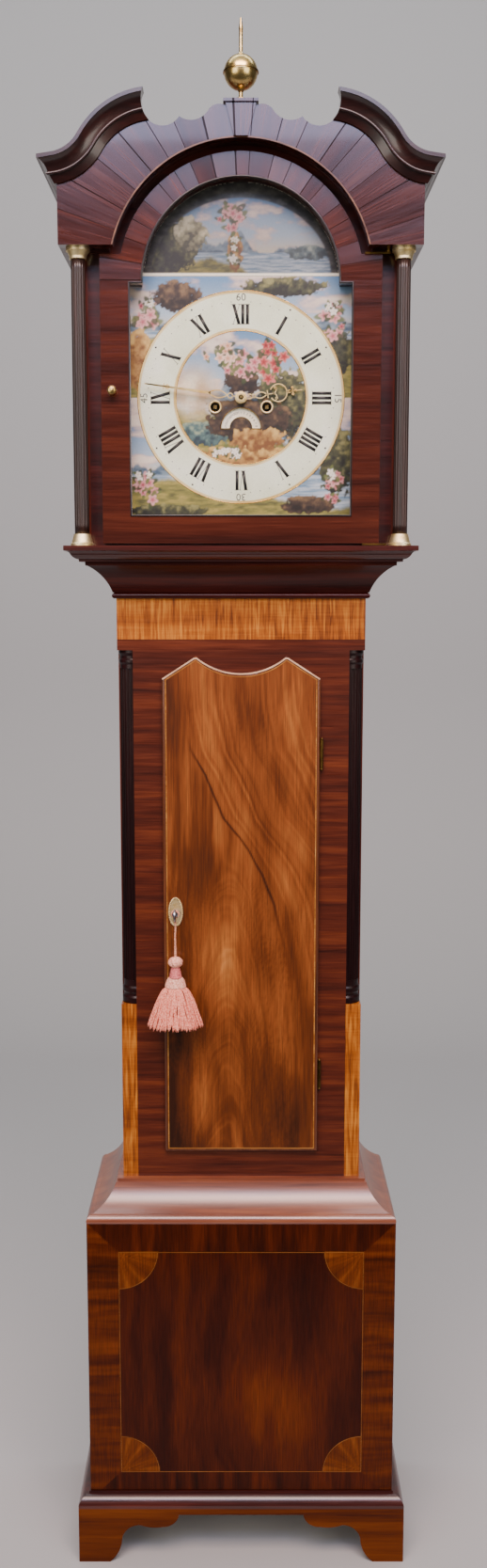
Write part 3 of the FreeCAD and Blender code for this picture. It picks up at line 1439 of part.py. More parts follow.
def scoop_bites():
    """The two round bites, through the swan necks and the board behind them."""
    return both(rod(*scoop_centre(), SCOOP_R, y_hood - CORNICE_OUT, y_fascia_back))


def fascia_top():
    """The top edge of the pediment board from the corner inwards: hidden by the swan neck, then scooped."""
    start, first, second = swan_curve(CORNICE_HEIGHT * CORNICE_COVER)
    scoop_x, scoop_z = scoop_centre()
    edge_z = scoop_z - math.sqrt(SCOOP_R**2 - (SWAN_INNER - scoop_x) ** 2)
    cusp = (scoop_x - 0.82 * SCOOP_R, scoop_z - 0.57 * SCOOP_R)
    crest_x = cusp[0] - 0.87 * CREST_R
    crest_end = (crest_x - 0.95 * CREST_R, cusp[1] + 0.45 * CREST_R)
    key_top = (KEYSTONE_TOP / 2, crest_end[1] + 0.18 * CREST_R)
    shoulder = ((crest_end[0] + key_top[0]) / 2, key_top[1] + 0.07 * CREST_R)
    return [
        start, first, second, (SWAN_INNER, edge_z), ((scoop_x, scoop_z - SCOOP_R), cusp),
        ((crest_x, cusp[1] - 0.2 * CREST_R), crest_end), (shoulder, key_top),
    ]


def keystone_levels():
    top = fascia_top()[-1][1][1] + KEYSTONE_ABOVE
    return top - KEYSTONE_DROP, top


def keystone_outline():
    low, high = keystone_levels()
    return symmetric((KEYSTONE_FOOT / 2, low), (KEYSTONE_TOP / 2, high))


def pediment_fascia():
    """The pediment board, cut in an arch over the hood door and scooped along its top."""
    arch_foot = math.sqrt(FASCIA_ARCH_R**2 - (z_fascia - z_arch) ** 2)
    steps = [(arch_foot, z_fascia), (hood_half, z_fascia)] + fascia_top()
    panel = slab(symmetric(*steps), y_hood, y_fascia_back)
    arch = rod(0.0, z_arch, FASCIA_ARCH_R, y_hood, y_fascia_back)
    return [panel.cut([arch, slab(keystone_outline(), y_hood, y_fascia_back)] + scoop_bites())]


def pediment_keystone():
    """The keystone at the middle of the pediment, under a thin cap."""
    _, high = keystone_levels()
    front = y_hood - KEYSTONE_OUT
    reach = KEYSTONE_TOP / 2 + KEYSTONE_CAP_OUT
    stone = slab(keystone_outline(), front, y_fascia_back)
    cap = board(-reach, reach, front - KEYSTONE_CAP_OUT, y_fascia_back, high, high + KEYSTONE_CAP)
    return [joined(stone, cap)]


def frieze_returns():
    """The pediment's sides along the hood, and the boards over the door's corners."""
    side_top = z_swan + CORNICE_HEIGHT * CORNICE_COVER
    side = board(side_half, hood_half, y_fascia_back, y_back, z_fascia, side_top)
    soffit = board(FASCIA_ARCH_R + MASK_IN, side_half, y_fascia_back, y_mask, z_fascia, z_fascia + SIDE_BOARD)
    return both(joined(side, soffit).cut(pivot_holes()))


def cornice_section():
    """The section of the cornice: a bead, a hollow and a rounded nose."""
    out = CORNICE_OUT
    top = CORNICE_HEIGHT
    return (
        (0.0, 0.0), (3.0, 0.0), ((5.5, 4.5), (8.5, 10.0)), (10.5, 10.0), ((12.5, 12.0), (10.5, 14.0)),
        ((14.0, 22.0), (out - 2.0, top - 5.0)), (out, top - 5.0), (out, top), (0.0, top),
    )


def swan_neck_mouldings():
    """The rising cornice on each half of the pediment, mitred to a return along the hood's side."""
    start, first, second = swan_curve()
    slope = math.atan2(SWAN_RISE, hood_half - SWAN_INNER) - math.radians(SWAN_TURN) / 2
    reach = 1.2 * CORNICE_OUT
    outer = (start[0] + reach * math.cos(slope), start[1] - reach * math.sin(slope))
    end = second[1]
    inner = (end[0] - SCOOP_R / 2 * math.cos(slope), end[1] + SCOOP_R / 2 * math.sin(slope))
    path = Part.Wire([
        Part.makeLine(at(outer, y_hood), at(start, y_hood)),
        Part.Arc(at(start, y_hood), at(first[0], y_hood), at(first[1], y_hood)).toShape(),
        Part.Arc(at(first[1], y_hood), at(second[0], y_hood), at(end, y_hood)).toShape(),
        Part.makeLine(at(end, y_hood), at(inner, y_hood)),
    ])
    section = outline(*cornice_section())
    section.rotate(FreeCAD.Vector(0, 0, 0), FreeCAD.Vector(0, 0, 1), -90)
    section.rotate(FreeCAD.Vector(0, 0, 0), FreeCAD.Vector(0, 1, 0), math.degrees(slope))
    section.translate(at(outer, y_hood))
    sweep = Part.BRepOffsetAPI.MakePipeShell(path)
    sweep.setBiNormalMode(FreeCAD.Vector(0, 1, 0))
    sweep.add(section)
    sweep.build()
    sweep.makeSolid()
    beyond = 2 * CORNICE_OUT
    low = FreeCAD.Vector(0, 0, z_fascia)
    mitre = Part.makePolygon([
        low + FreeCAD.Vector(hood_half, y_hood, 0),
        low + FreeCAD.Vector(hood_half + beyond, y_hood - beyond, 0),
        low + FreeCAD.Vector(hood_half + beyond, y_hood, 0),
        low + FreeCAD.Vector(hood_half, y_hood, 0),
    ])
    beside = Part.Face(mitre).extrude(FreeCAD.Vector(0, 0, 2 * FASCIA_RISE))
    neck = sweep.shape().cut([beside] + scoop_bites())
    diagonal = hood_half + y_hood
    cut_face = [
        face for face in neck.Faces if all(abs(v.X + v.Y - diagonal) < 1e-4 for v in face.Vertexes)
    ][0]
    run = cut_face.extrude(FreeCAD.Vector(0, y_back - y_hood + CORNICE_OUT, 0))
    width = hood_half + beyond
    side = run.common(board(0, width, y_hood - beyond, y_back, z_fascia, z_fascia + 2 * FASCIA_RISE))
    return both(neck) + both(side)


def column_place():
    return hood_half - COLUMN_IN, y_hood + COLUMN_IN


def hood_columns():
    """The hood's slim front columns, between their brasses."""
    x, y = column_place()
    return both(post(x, y, COLUMN_R, z_hood + COLUMN_BRASS, z_fascia - COLUMN_CAPITAL))


def column_brasses():
    """A conical brass base and a brass capital on each column, each with a lip at its wide end."""
    x, y = column_place()
    wide = COLUMN_BRASS_R
    step = wide - BRASS_STEP
    narrow = COLUMN_R + BRASS_STEP
    lip = z_hood + BRASS_LIP
    neck = z_hood + COLUMN_BRASS
    base = turned(
        x, y, 360, (0.0, z_hood), (wide, z_hood), (wide, lip), (step, lip + BRASS_STEP), (narrow, neck),
        (0.0, neck),
    )
    neck = z_fascia - COLUMN_CAPITAL
    lip = z_fascia - BRASS_LIP
    capital = turned(
        x, y, 360, (0.0, neck), (narrow, neck), (narrow, neck + BRASS_LIP), (step, lip), (wide, lip),
        (wide, z_fascia), (0.0, z_fascia),
    )
    return both(base) + both(capital)


def ball_finial():
    """A brass ball with a seam flange, on a turned stem, under a spike."""
    z0 = keystone_levels()[1] + KEYSTONE_CAP
    y = (y_hood - KEYSTONE_OUT + y_fascia_back) / 2
    z = z0 + FINIAL_STEM
    r = FINIAL_BALL_R
    neck = FINIAL_NECK_R
    stem = FINIAL_STEM_R
    spike = FINIAL_SPIKE_R
    seam = FINIAL_SEAM
    cap = math.sqrt(r**2 - neck**2)
    band = math.sqrt(r**2 - seam**2)
    side = r * math.sin(math.radians(50))
    up = r * math.cos(math.radians(50))
    tip = z + FINIAL_SPIKE
    knop = tip - 0.2 * FINIAL_SPIKE
    return [
        turned(
            0.0, y, 360, (0.0, z0), (FINIAL_FOOT_R, z0), (FINIAL_FOOT_R, z0 + stem), (stem, z0 + 2 * stem),
            (stem, z - r - stem), (neck, z - cap), ((side, z - up), (band, z - seam)), (r + seam, z - seam),
            (r + seam, z + seam), (band, z + seam), ((side, z + up), (neck, z + cap)), (spike, z + r + stem),
            (spike, knop), (stem, knop), (stem, knop + spike), (spike, knop + spike), (spike / 2, tip),
            (0.0, tip),
        )
    ]


def sight_outline(grow):
    """The glass opening of the hood door, grown all round."""
    bottom = z_hood + SIGHT_BOTTOM - grow
    return break_arch(SIGHT_WIDTH / 2 + grow, bottom, z_hood + SIGHT_SHOULDER + grow, SIGHT_ARCH + grow)


def hood_door_frame():
    """The hood door's arched frame, rebated at the back for its glass."""
    foot = z_hood + HOOD_DOOR_FOOT
    head = z_fascia - HOOD_DOOR_HEAD
    y1 = y_hood_door + HOOD_DOOR_THICK
    frame = slab(break_arch(HOOD_DOOR_WIDTH / 2, foot, head, HOOD_DOOR_ARCH), y_hood_door, y1)
    sight = slab(sight_outline(0.0), y_hood_door, y_glass)
    rebate = slab(sight_outline(GLASS_REBATE), y_glass, y1)
    return [frame.cut([sight, rebate])]


def hood_door_glass():
    return [slab(sight_outline(GLASS_REBATE - AIR), y_glass, y_glass + GLASS)]


def hood_door_knob():
    x = -HOOD_DOOR_WIDTH / 2 + KNOB_IN
    r = KNOB_R
    out = KNOB_OUT
    return [
        turned_knob(
            x, z_hood + KNOB_UP, y_hood_door, (0.0, 0.0), (r * 0.75, 0.0), (r * 0.75, 1.5), (r * 0.4, 2.5),
            (r * 0.4, out - 8.0), ((r, out - 4.0), (r * 0.5, out - 0.6)), (0.0, out),
        )
    ]


def hood_door_straps():
    """Brass straps under and over the door's hinge side, each with a pivot."""
    x, y = pivot_place()
    z0 = z_hood + HOOD_DOOR_FOOT
    z1 = z_fascia - HOOD_DOOR_HEAD
    arch_foot = math.sqrt(HOOD_DOOR_ARCH**2 - (z1 - z_arch) ** 2)
    inner = max(HOOD_DOOR_WIDTH / 2 - STRAP_WIDTH, arch_foot + AIR)
    half = PIVOT_R + AIR
    lower = board(inner, x + half, y - half, y + half, z0 - STRAP, z0)
    upper = board(inner, x + half, y - half, y + half, z1, z1 + STRAP)
    return [
        joined(lower, post(x, y, PIVOT_R, z_hood - PIVOT_LENGTH, z0)),
        joined(upper, post(x, y, PIVOT_R, z1, z_fascia + PIVOT_LENGTH)),
    ]


PIECES = {
    "bracket_feet": bracket_feet(),
    "plinth_moulding": plinth_moulding(),
    "base_front_panel": base_front_panel(),
    "base_carcass": base_carcass(),
    "waist_moulding": waist_moulding(),
    "trunk_front_frame": trunk_front_frame(),
    "trunk_cheeks": trunk_cheeks(),
    "backboard": backboard(),
    "quarter_columns": quarter_columns(),
    "maple_panels": maple_panels(),
    "throat_moulding": throat_moulding(),
    "trunk_hinge_plates": trunk_hinge_plates(),
    "seatboard": seatboard(),
    "movement_plates": movement_plates(),
    "back_cock": back_cock(),
    "dial_plate": dial_plate(),
    "bell": bell(),
    "going_line": weight_line(WINDING_X),
    "strike_line": weight_line(-WINDING_X),
    "trunk_door_panel": trunk_door_panel(),
    "trunk_door_hinge_leaves": trunk_door_hinge_leaves(),
    "door_lock": door_lock(),
    "escutcheon": escutcheon(),
    "lock_bolt": lock_bolt(),
    "door_key": door_key(),
    "tassel_cord": tassel_cord(),
    "tassel": tassel(),
    "hood_base_moulding": hood_base_moulding(),
    "hood_carcass": hood_carcass(),
    "mask_board": mask_board(),
    "pediment_fascia": pediment_fascia(),
    "frieze_returns": frieze_returns(),
    "swan_neck_mouldings": swan_neck_mouldings(),
    "pediment_keystone": pediment_keystone(),
    "hood_columns": hood_columns(),
    "column_brasses": column_brasses(),
    "ball_finial": ball_finial(),
    "hood_door_frame": hood_door_frame(),
    "hood_door_glass": hood_door_glass(),
    "hood_door_knob": hood_door_knob(),
    "hood_door_straps": hood_door_straps(),
    "minute_hand": minute_hand(),
    "hour_hand": hour_hand(),
    "cannon_pinion": cannon_pinion(),
    "hour_wheel": hour_wheel(),
    "minute_wheel": minute_wheel(),
    "centre_wheel": centre_wheel(),
    "third_wheel": third_wheel(),
    "escape_wheel": escape_wheel(),
    "pallets": pallets(),
    "pendulum_rod": pendulum_rod(),
    "pendulum_bob": pendulum_bob(),
    "going_barrel": barrel("going"),
    "going_great_wheel": great_wheel("going", GREAT_TEETH, train_radii()["great"]),
    "going_weight": weight(WINDING_X),
    "strike_barrel": barrel("strike"),
    "strike_great_wheel": great_wheel("strike", STRIKE_TEETH, STRIKE_WHEEL_R),
    "strike_weight": weight(-WINDING_X),
    "hammer": hammer(),
    "date_disc": date_disc(),
}

os.makedirs("parts", exist_ok=True)
for node, solids in PIECES.items():
    shape = solids[0] if len(solids) == 1 else Part.makeCompound(solids)
    shape.exportStep("parts/" + node + ".step")
print(len(PIECES), "pieces")
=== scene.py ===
# %% [markdown]
# # A longcase clock, dressed for the camera
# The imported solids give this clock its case, its movement and its joints. This script adds what only
# the eye needs: polished woods, a painted dial, inlaid lines, brass, a silk tassel, light and a camera.
# The frame is in metres. New pieces are worked out in millimetres, as a clockmaker would, and MM turns
# them into metres when their mesh is made.

# %% Load the frame
import json
import math
from functools import partial

import bpy
import numpy as np
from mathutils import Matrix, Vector

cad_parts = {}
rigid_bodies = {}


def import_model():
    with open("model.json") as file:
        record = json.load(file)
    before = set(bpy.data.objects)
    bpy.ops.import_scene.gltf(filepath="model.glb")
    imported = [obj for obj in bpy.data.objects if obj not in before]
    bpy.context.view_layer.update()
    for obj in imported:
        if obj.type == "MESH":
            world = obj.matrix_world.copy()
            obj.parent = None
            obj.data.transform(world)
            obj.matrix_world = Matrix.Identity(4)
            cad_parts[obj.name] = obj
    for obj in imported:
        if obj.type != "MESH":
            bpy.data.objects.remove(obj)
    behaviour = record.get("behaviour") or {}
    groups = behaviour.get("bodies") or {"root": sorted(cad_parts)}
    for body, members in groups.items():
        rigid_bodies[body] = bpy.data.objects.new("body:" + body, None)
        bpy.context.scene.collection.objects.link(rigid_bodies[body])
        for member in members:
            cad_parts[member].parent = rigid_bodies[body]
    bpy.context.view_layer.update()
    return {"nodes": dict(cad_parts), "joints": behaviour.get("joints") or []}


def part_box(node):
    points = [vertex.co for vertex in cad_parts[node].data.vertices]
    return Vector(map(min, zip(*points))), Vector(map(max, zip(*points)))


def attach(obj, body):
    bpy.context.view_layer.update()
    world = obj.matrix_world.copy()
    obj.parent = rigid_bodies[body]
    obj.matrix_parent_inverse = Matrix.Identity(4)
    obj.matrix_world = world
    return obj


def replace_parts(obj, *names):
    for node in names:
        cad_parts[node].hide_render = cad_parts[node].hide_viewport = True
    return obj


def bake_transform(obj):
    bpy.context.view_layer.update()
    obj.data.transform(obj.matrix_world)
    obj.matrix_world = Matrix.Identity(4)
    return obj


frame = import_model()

MM = 0.001
joints = {joint["name"]: joint for joint in frame["joints"]}

# %% [markdown]
# ## The camera
# The photograph was taken a little above the middle of the clock, about two metres away, looking down
# by some eight degrees. The focal length is given in pixels of the tall picture and turned into a lens.

# %% Camera
PICTURE_HEIGHT = 1667
FOCAL_PIXELS = 1423
SENSOR = 36.0
CAMERA_PLACE = (0.0036, -2.0324, 1.4933)
CAMERA_DOWN = 7.756

camera = bpy.data.objects.new("camera", bpy.data.cameras.new("camera"))
bpy.context.scene.collection.objects.link(camera)
camera.data.sensor_width = SENSOR
camera.data.lens = FOCAL_PIXELS / PICTURE_HEIGHT * SENSOR
camera.location = CAMERA_PLACE
camera.rotation_euler = (math.radians(90 - CAMERA_DOWN), 0, 0)
bpy.context.scene.camera = camera
print("lens", round(camera.data.lens, 2), "mm")

# %% [markdown]
# ## Colours and nodes
# Every material is built with one function that adds a node, sets it up and links it. Colours are
# written as the hex codes of a paint chart and turned into the linear light that the renderer works
# with.

# %% Colours and nodes
def colour(code):
    """An sRGB hex code as linear red, green, blue and alpha: the standard curve, undone."""
    values = np.array([int(code[i : i + 2], 16) for i in (1, 3, 5)]) / 255
    linear = np.where(values <= 0.04045, values / 12.92, ((values + 0.055) / 1.055) ** 2.4)
    return (*linear.tolist(), 1.0)


def add_node(tree, kind, links=None, stops=None, **settings):
    """Adds a shader node and gives its outputs.

    Links maps an input to a value or an output. Stops are a ramp's (place, hex code) pairs.
    """
    node = tree.nodes.new("ShaderNode" + kind)
    for name, value in settings.items():
        setattr(node, name, value)
    for key, value in (links or {}).items():
        if isinstance(value, bpy.types.NodeSocket):
            tree.links.new(value, node.inputs[key])
        else:
            node.inputs[key].default_value = value
    for number, (place, code) in enumerate(stops or ()):
        elements = node.color_ramp.elements
        element = elements[number] if number < 2 else elements.new(place)
        element.position = place
        element.color = colour(code)
    return node.outputs


def new_material(name):
    """An empty material, and the function above ready to add nodes to it."""
    material = bpy.data.materials.new(name)
    material.use_nodes = True
    material.node_tree.nodes.clear()
    return material, partial(add_node, material.node_tree)


def finish(add, sockets):
    """Ends a material: these sockets on one principled shader, led to the output."""
    shader = add("BsdfPrincipled", sockets)
    add("OutputMaterial", {0: shader[0]})


def dress(material, *nodes):
    """Puts a material on solids of the frame."""
    for name in nodes:
        slots = frame["nodes"][name].data.materials
        slots.clear()
        slots.append(material)


print("mid grey #808080 is", round(colour("#808080")[0], 3), "in linear light")

# %% [markdown]
# ## Meshes from grids
# A new piece is a grid of points worked out with numpy. Rows go up and columns go to the right, so that
# its faces look forwards, at the camera. A piece may carry attributes, such as its painted colours.

# %% Meshes from grids
def join(*axes):
    """Arrays for the separate axes, spread to one shape, as an array of points."""
    return np.stack(np.broadcast_arrays(*axes), axis=-1)


def circle(count):
    """Angles spread evenly round a full turn."""
    return np.arange(count) * math.tau / count


def node_box(name):
    """The lowest and highest corner of a solid of the frame, in millimetres."""
    return np.array(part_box(name)) / MM


def quads(rows, columns, wrap_rows=False, wrap_columns=False):
    """The corner numbers of every square in a grid. A wrapped direction joins its last line to its first."""
    r = np.arange(rows if wrap_rows else rows - 1)
    c = np.arange(columns if wrap_columns else columns - 1)
    r, c = np.meshgrid(r, c, indexing="ij")
    r_next = (r + 1) % rows
    c_next = (c + 1) % columns
    corners = [r * columns + c, r * columns + c_next, r_next * columns + c_next, r_next * columns + c]
    return join(*corners).reshape(-1, 4)


print("a grid of 3 by 4 points has", len(quads(3, 4)), "squares")


# %% Pieces
def piece(name, points, faces, body, slot, material, smooth=True, **attributes):
    """A mesh from points in millimetres and faces, riding on a body of the frame if one is given."""
    mesh = bpy.data.meshes.new(name)
    mesh.from_pydata((points.reshape(-1, 3) * MM).tolist(), [], faces.tolist())
    mesh.polygons.foreach_set("use_smooth", np.full(len(mesh.polygons), smooth))
    mesh.materials.append(material)
    for label, values in attributes.items():
        rgba = np.concatenate([values.reshape(-1, 3), np.ones((len(mesh.vertices), 1))], axis=1)
        layer = mesh.attributes.new(label, "FLOAT_COLOR", "POINT")
        layer.data.foreach_set("color", rgba.astype(np.float32).ravel())
    thing = bpy.data.objects.new(name, mesh)
    bpy.context.scene.collection.objects.link(thing)
    if body:
        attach(thing, body)
    return thing


def thicken(thing, depth):
    """Gives a leaf its thickness, in millimetres, behind the face that shows."""
    solid = thing.modifiers.new("thickness", "SOLIDIFY")
    solid.thickness = depth * MM
    solid.offset = -1
    return thing


def used(faces, points, *layers):
    """Drops the points that no face uses, from the points and from every layer that goes with them."""
    kept, renumbered = np.unique(faces, return_inverse=True)
    trimmed = [layer.reshape(-1, layer.shape[-1])[kept] for layer in (points, *layers)]
    return renumbered.reshape(faces.shape), *trimmed


# %% [markdown]
# ## Noise for painted and grown things
# Cloud, foliage and wood figure are all uneven at several sizes at once. Value noise does this: random
# heights on a lattice, joined smoothly, then finer and weaker copies added to it.

# %% Noise
LATTICE = 128


def smoothstep(low, high, value):
    """0 at low, 1 at high, and an S between them. Low may be the larger one."""
    t = np.clip((value - low) / (high - low), 0, 1)
    return t * t * (3 - 2 * t)


def value_noise(x, y, seed):
    """Smooth random heights: a random value at each whole corner, blended by an S curve both ways."""
    table = np.random.default_rng(seed).random((LATTICE, LATTICE))
    left = np.floor(x).astype(int)
    below = np.floor(y).astype(int)
    u = smoothstep(0, 1, x - left)
    v = smoothstep(0, 1, y - below)
    x0, x1, y0, y1 = (corner % LATTICE for corner in (left, left + 1, below, below + 1))
    low = table[x0, y0] * (1 - u) + table[x1, y0] * u
    high = table[x0, y1] * (1 - u) + table[x1, y1] * u
    return low * (1 - v) + high * v


def cloudy(x, y, seed, octaves=4):
    """Sums of that noise, each twice as fine and half as strong as the last, scaled to 0..1."""
    total = sum(value_noise(x * 2**k, y * 2**k, seed + k) / 2**k for k in range(octaves))
    return total / sum(0.5**k for k in range(octaves))


def tint(value, *stops):
    """Linear colours for an array of values, mixed between (place, hex code) stops."""
    places = [place for place, _ in stops]
    colours = np.array([colour(code)[:3] for _, code in stops])
    return join(*(np.interp(value, places, channel) for channel in colours.T))


def over(picture, paint, cover):
    """Lays paint on a picture: none where cover is 0, opaque where it is 1."""
    return picture + (paint - picture) * cover[..., None]


print("lattice:", LATTICE, "by", LATTICE, "random heights")

# %% [markdown]
# ## Polished woods
# The case is mahogany, laid as veneer and French polished. A veneer is a thin slice, so its grain can
# run along a board, across it as crossbanding, or fan out from the centre of an arch. The first thing a
# wood needs is therefore a direction: coordinates that run with its fibres. Noise drawn out along them
# gives streaks and fibres.

# %% Grain
LEAF_ANGLE = math.radians(9.5)
LEAF_WANDER = 0.16
ARCH_CENTRE = 1.937
ARCH_GRAIN_R = 0.2
SIDE_FACING = 0.7


def grain_axes(add, lay):
    """Three coordinates for a wood: along the fibres, across them and into the board, and a leaf number."""
    where = add("TexCoord")
    x, y, z = add("SeparateXYZ", {0: where["Object"]})
    facing = add("SeparateXYZ", {0: where["Normal"]})[0]
    sideways = add("Math", {0: facing}, operation="ABSOLUTE")[0]
    on_side = add("Math", {0: sideways, 1: SIDE_FACING}, operation="GREATER_THAN")[0]
    level = add("Mix", {0: on_side, 2: x, 3: y})[0]
    depth = add("Mix", {0: on_side, 2: y, 3: x})[0]
    if lay == "along":
        return level, z, depth, None
    if lay == "upright":
        return z, level, depth, None
    rise = add("Math", {0: z, 1: ARCH_CENTRE}, operation="SUBTRACT")[0]
    angle = add("Math", {0: x, 1: rise}, operation="ARCTAN2")[0]
    wander = add("TexNoise", {"W": angle, "Scale": 9.0, "Detail": 1.0}, noise_dimensions="1D")
    uneven = add("Math", {0: wander[0], 1: LEAF_WANDER, 2: angle}, operation="MULTIPLY_ADD")
    share = add("Math", {0: uneven[0], 1: 1 / LEAF_ANGLE}, operation="MULTIPLY")[0]
    square = add("Math", {0: x, 1: x}, operation="MULTIPLY")[0]
    radius = add("Math", {0: rise, 1: rise, 2: square}, operation="MULTIPLY_ADD")[0]
    radius = add("Math", {0: radius, 1: 0.5}, operation="POWER")[0]
    round_arch = add("Math", {0: angle, 1: ARCH_GRAIN_R}, operation="MULTIPLY")[0]
    if lay == "fan":
        return radius, round_arch, depth, share
    above = add("Math", {0: rise, 1: 0.0}, operation="GREATER_THAN")[0]
    along = add("Mix", {0: above, 2: x, 3: radius})[0]
    across = add("Mix", {0: above, 2: z, 3: round_arch})[0]
    share = add("Mix", {0: above, 2: 0.5, 3: share})[0]
    return along, across, depth, share


def streaks(add, where, lengths, links):
    """Noise whose patches have a length of their own in each direction."""
    place = add("Mapping", {0: where, 3: [1 / length for length in lengths]})[0]
    return add("TexNoise", {"Vector": place, "Scale": 1.0} | links)[0]


print("leaves of an arch:", round(math.degrees(LEAF_ANGLE), 1), "degrees each")

# %% [markdown]
# One function then makes every wood: broad streaks for the figure, fine fibres over them, and a clear
# coat for the polish. Real fibres are about 0.5 mm wide. They are drawn at 2 mm, because finer ones would
# not show. Where leaves of veneer meet in an arch, each has its own tone and leans a little, so that each
# catches the light in its own way, and the joint between two of them is dark and dull.

# %% Wood
STREAK_LENGTH = 330 * MM
FIBRE_LENGTH = 55 * MM
FIBRE_WIDTH = 2.0 * MM
FIBRE_SHARE = 0.28
CURL = 3.6 * MM
CURL_LENGTH = 60 * MM
LEAF_SHIFT = 0.731
LEAF_TONES = (0.78, 1.18)
JOINT_SHARE = 0.05
JOINT_COLOUR = "#1d100c"
JOINT_POLISH = 0.1


def wood(name, dark, middle, light, lay="along", streak=16 * MM, ripple=0.0, spread=0.2,
         shine=0.3, coat=0.55, haze=0.12, tilt=0.03, gleam=0.5, film=1.5):
    """A polished wood. Ripple is the share of its figure that runs across the fibres, as in curled maple.

    A small spread makes the figure bolder. Shine and haze are the roughness of the wood and of the polish
    on it. Tilt is how far each leaf of a fan leans, since no two leaves lie quite level. Gleam is the
    strength of the reflection under the polish. Film is the refractive index of the polish: above 1.5 it
    is waxed to a high gloss.
    """
    material, add = new_material(name)
    along, across, depth, share = grain_axes(add, lay)
    if share:
        leaf = add("Math", {0: share}, operation="FLOOR")[0]
        depth = add("Math", {0: leaf, 1: LEAF_SHIFT, 2: depth}, operation="MULTIPLY_ADD")[0]
    grain = add("CombineXYZ", {0: along, 1: across, 2: depth})[0]
    broad_links = {"Detail": 4.0, "Roughness": 0.55, "Distortion": 0.35}
    broad = streaks(add, grain, (STREAK_LENGTH, streak, streak), broad_links)
    fine = streaks(add, grain, (FIBRE_LENGTH, FIBRE_WIDTH, FIBRE_WIDTH), {"Detail": 2.0})
    figure = add("Mix", {0: FIBRE_SHARE, 2: broad, 3: fine})[0]
    if ripple:
        curl_links = {"Detail": 3.0, "Distortion": 0.5}
        curl = streaks(add, grain, (CURL, CURL_LENGTH, CURL_LENGTH), curl_links)
        figure = add("Mix", {0: ripple, 2: figure, 3: curl})[0]
    stops = ((0.5 - spread, dark), (0.5, middle), (0.5 + spread, light))
    shade = add("ValToRGB", {0: figure}, stops)[0]
    if share:
        by_chance = add("TexWhiteNoise", {"W": leaf}, noise_dimensions="1D")
        tone = add("MapRange", {0: by_chance[0], 3: LEAF_TONES[0], 4: LEAF_TONES[1]})[0]
        shade = add("VectorMath", {0: shade, "Scale": tone}, operation="SCALE")[0]
        within = add("Math", {0: share}, operation="FRACT")[0]
        joint = add("Math", {0: within, 1: JOINT_SHARE}, operation="LESS_THAN")[0]
        joint_links = {0: joint, 6: shade, 7: colour(JOINT_COLOUR)}
        shade = add("Mix", joint_links, data_type="RGBA")[2]
        coat = add("Mix", {0: joint, 2: coat, 3: JOINT_POLISH})[0]
        gleam = add("Mix", {0: joint, 2: gleam, 3: JOINT_POLISH})[0]
    polish = add("MapRange", {0: fine, 3: shine - 0.06, 4: shine + 0.08})[0]
    facing = add("NewGeometry")["Normal"]
    if share:
        lean_links = {0: by_chance[1], 1: (tilt, tilt, tilt), 2: facing}
        facing = add("VectorMath", lean_links, operation="MULTIPLY_ADD")[0]
        facing = add("VectorMath", {0: facing}, operation="NORMALIZE")[0]
    bump_links = {"Height": fine, "Strength": 0.06, "Distance": 0.3 * MM, "Normal": facing}
    bump = add("Bump", bump_links)[0]
    sockets = {"Base Color": shade, "Roughness": polish, "IOR": 1.5, "Normal": bump}
    sockets |= {"Specular IOR Level": gleam, "Coat Weight": coat, "Coat Roughness": haze, "Coat IOR": film}
    finish(add, sockets)
    return material


print("streaks", round(STREAK_LENGTH / MM), "mm long, fibres", round(FIBRE_WIDTH / MM, 1), "mm wide")

# %% [markdown]
# The mahogany comes in several colours. Two of them are painted light: nearly black on the swan necks, as
# painted shade, and lighter and warmer on the ledge at the waist, as a painted highlight where light falls.

# %% Woods of the case
mahogany = wood("french_polished_mahogany", "#1e0504", "#380d07", "#541a0e")
# Painted shade: a near-black mahogany for the swan necks, darker than the timber itself.
painted_shade_mahogany = wood("painted_shade_mahogany", "#120404", "#220806", "#34110b")
shaded_mahogany = wood("shaded_mahogany", "#1e0504", "#3a0e08", "#541a0e", coat=0.12, gleam=0.25)
# Painted highlight: a lighter, warmer mahogany with a strong polish, so the ledge at the waist looks lit from
# above.
painted_highlight_mahogany = wood("painted_highlight_mahogany", "#52200f", "#7a3a1a", "#98582c",
                       shine=0.36, coat=1.0, haze=0.34, film=1.8)
trunk_banding = wood("crossbanded_mahogany", "#290b06", "#4b1b0c", "#6a2f16", streak=15 * MM, spread=0.19)
upright_mahogany = wood("upright_mahogany", "#340e07", "#531c0e", "#6e2c14", lay="upright")
smooth_polish = {"shine": 0.17, "coat": 0.7, "haze": 0.05}
fan_veneer = wood("fan_veneer", "#200b08", "#381711", "#4c251b", lay="fan", **smooth_polish)
door_veneer = wood("hood_door_veneer", "#240b06", "#3e170d", "#542414", lay="arch",
                   tilt=0.045, film=1.75, **smooth_polish)
foot_wood = wood("foot_mahogany", "#381202", "#552303", "#6a3307", shine=0.5, coat=0.0, gleam=0.15)
honey_mahogany = wood("honey_mahogany", "#3a1a0a", "#5c2e14", "#7a4422", lay="upright", streak=12 * MM)
curled_maple = wood("curled_maple", "#65300a", "#9a5210", "#c07a28",
                    streak=24 * MM, ripple=0.62, spread=0.13, shine=0.32)
ebonised = wood("ebonised_wood", "#0e0506", "#1c090a", "#2a1011", lay="upright", coat=0.0, gleam=0.25)
pine = wood("planed_pine", "#6d4722", "#9a6c3a", "#b98a52", lay="upright", shine=0.6, coat=0.0)

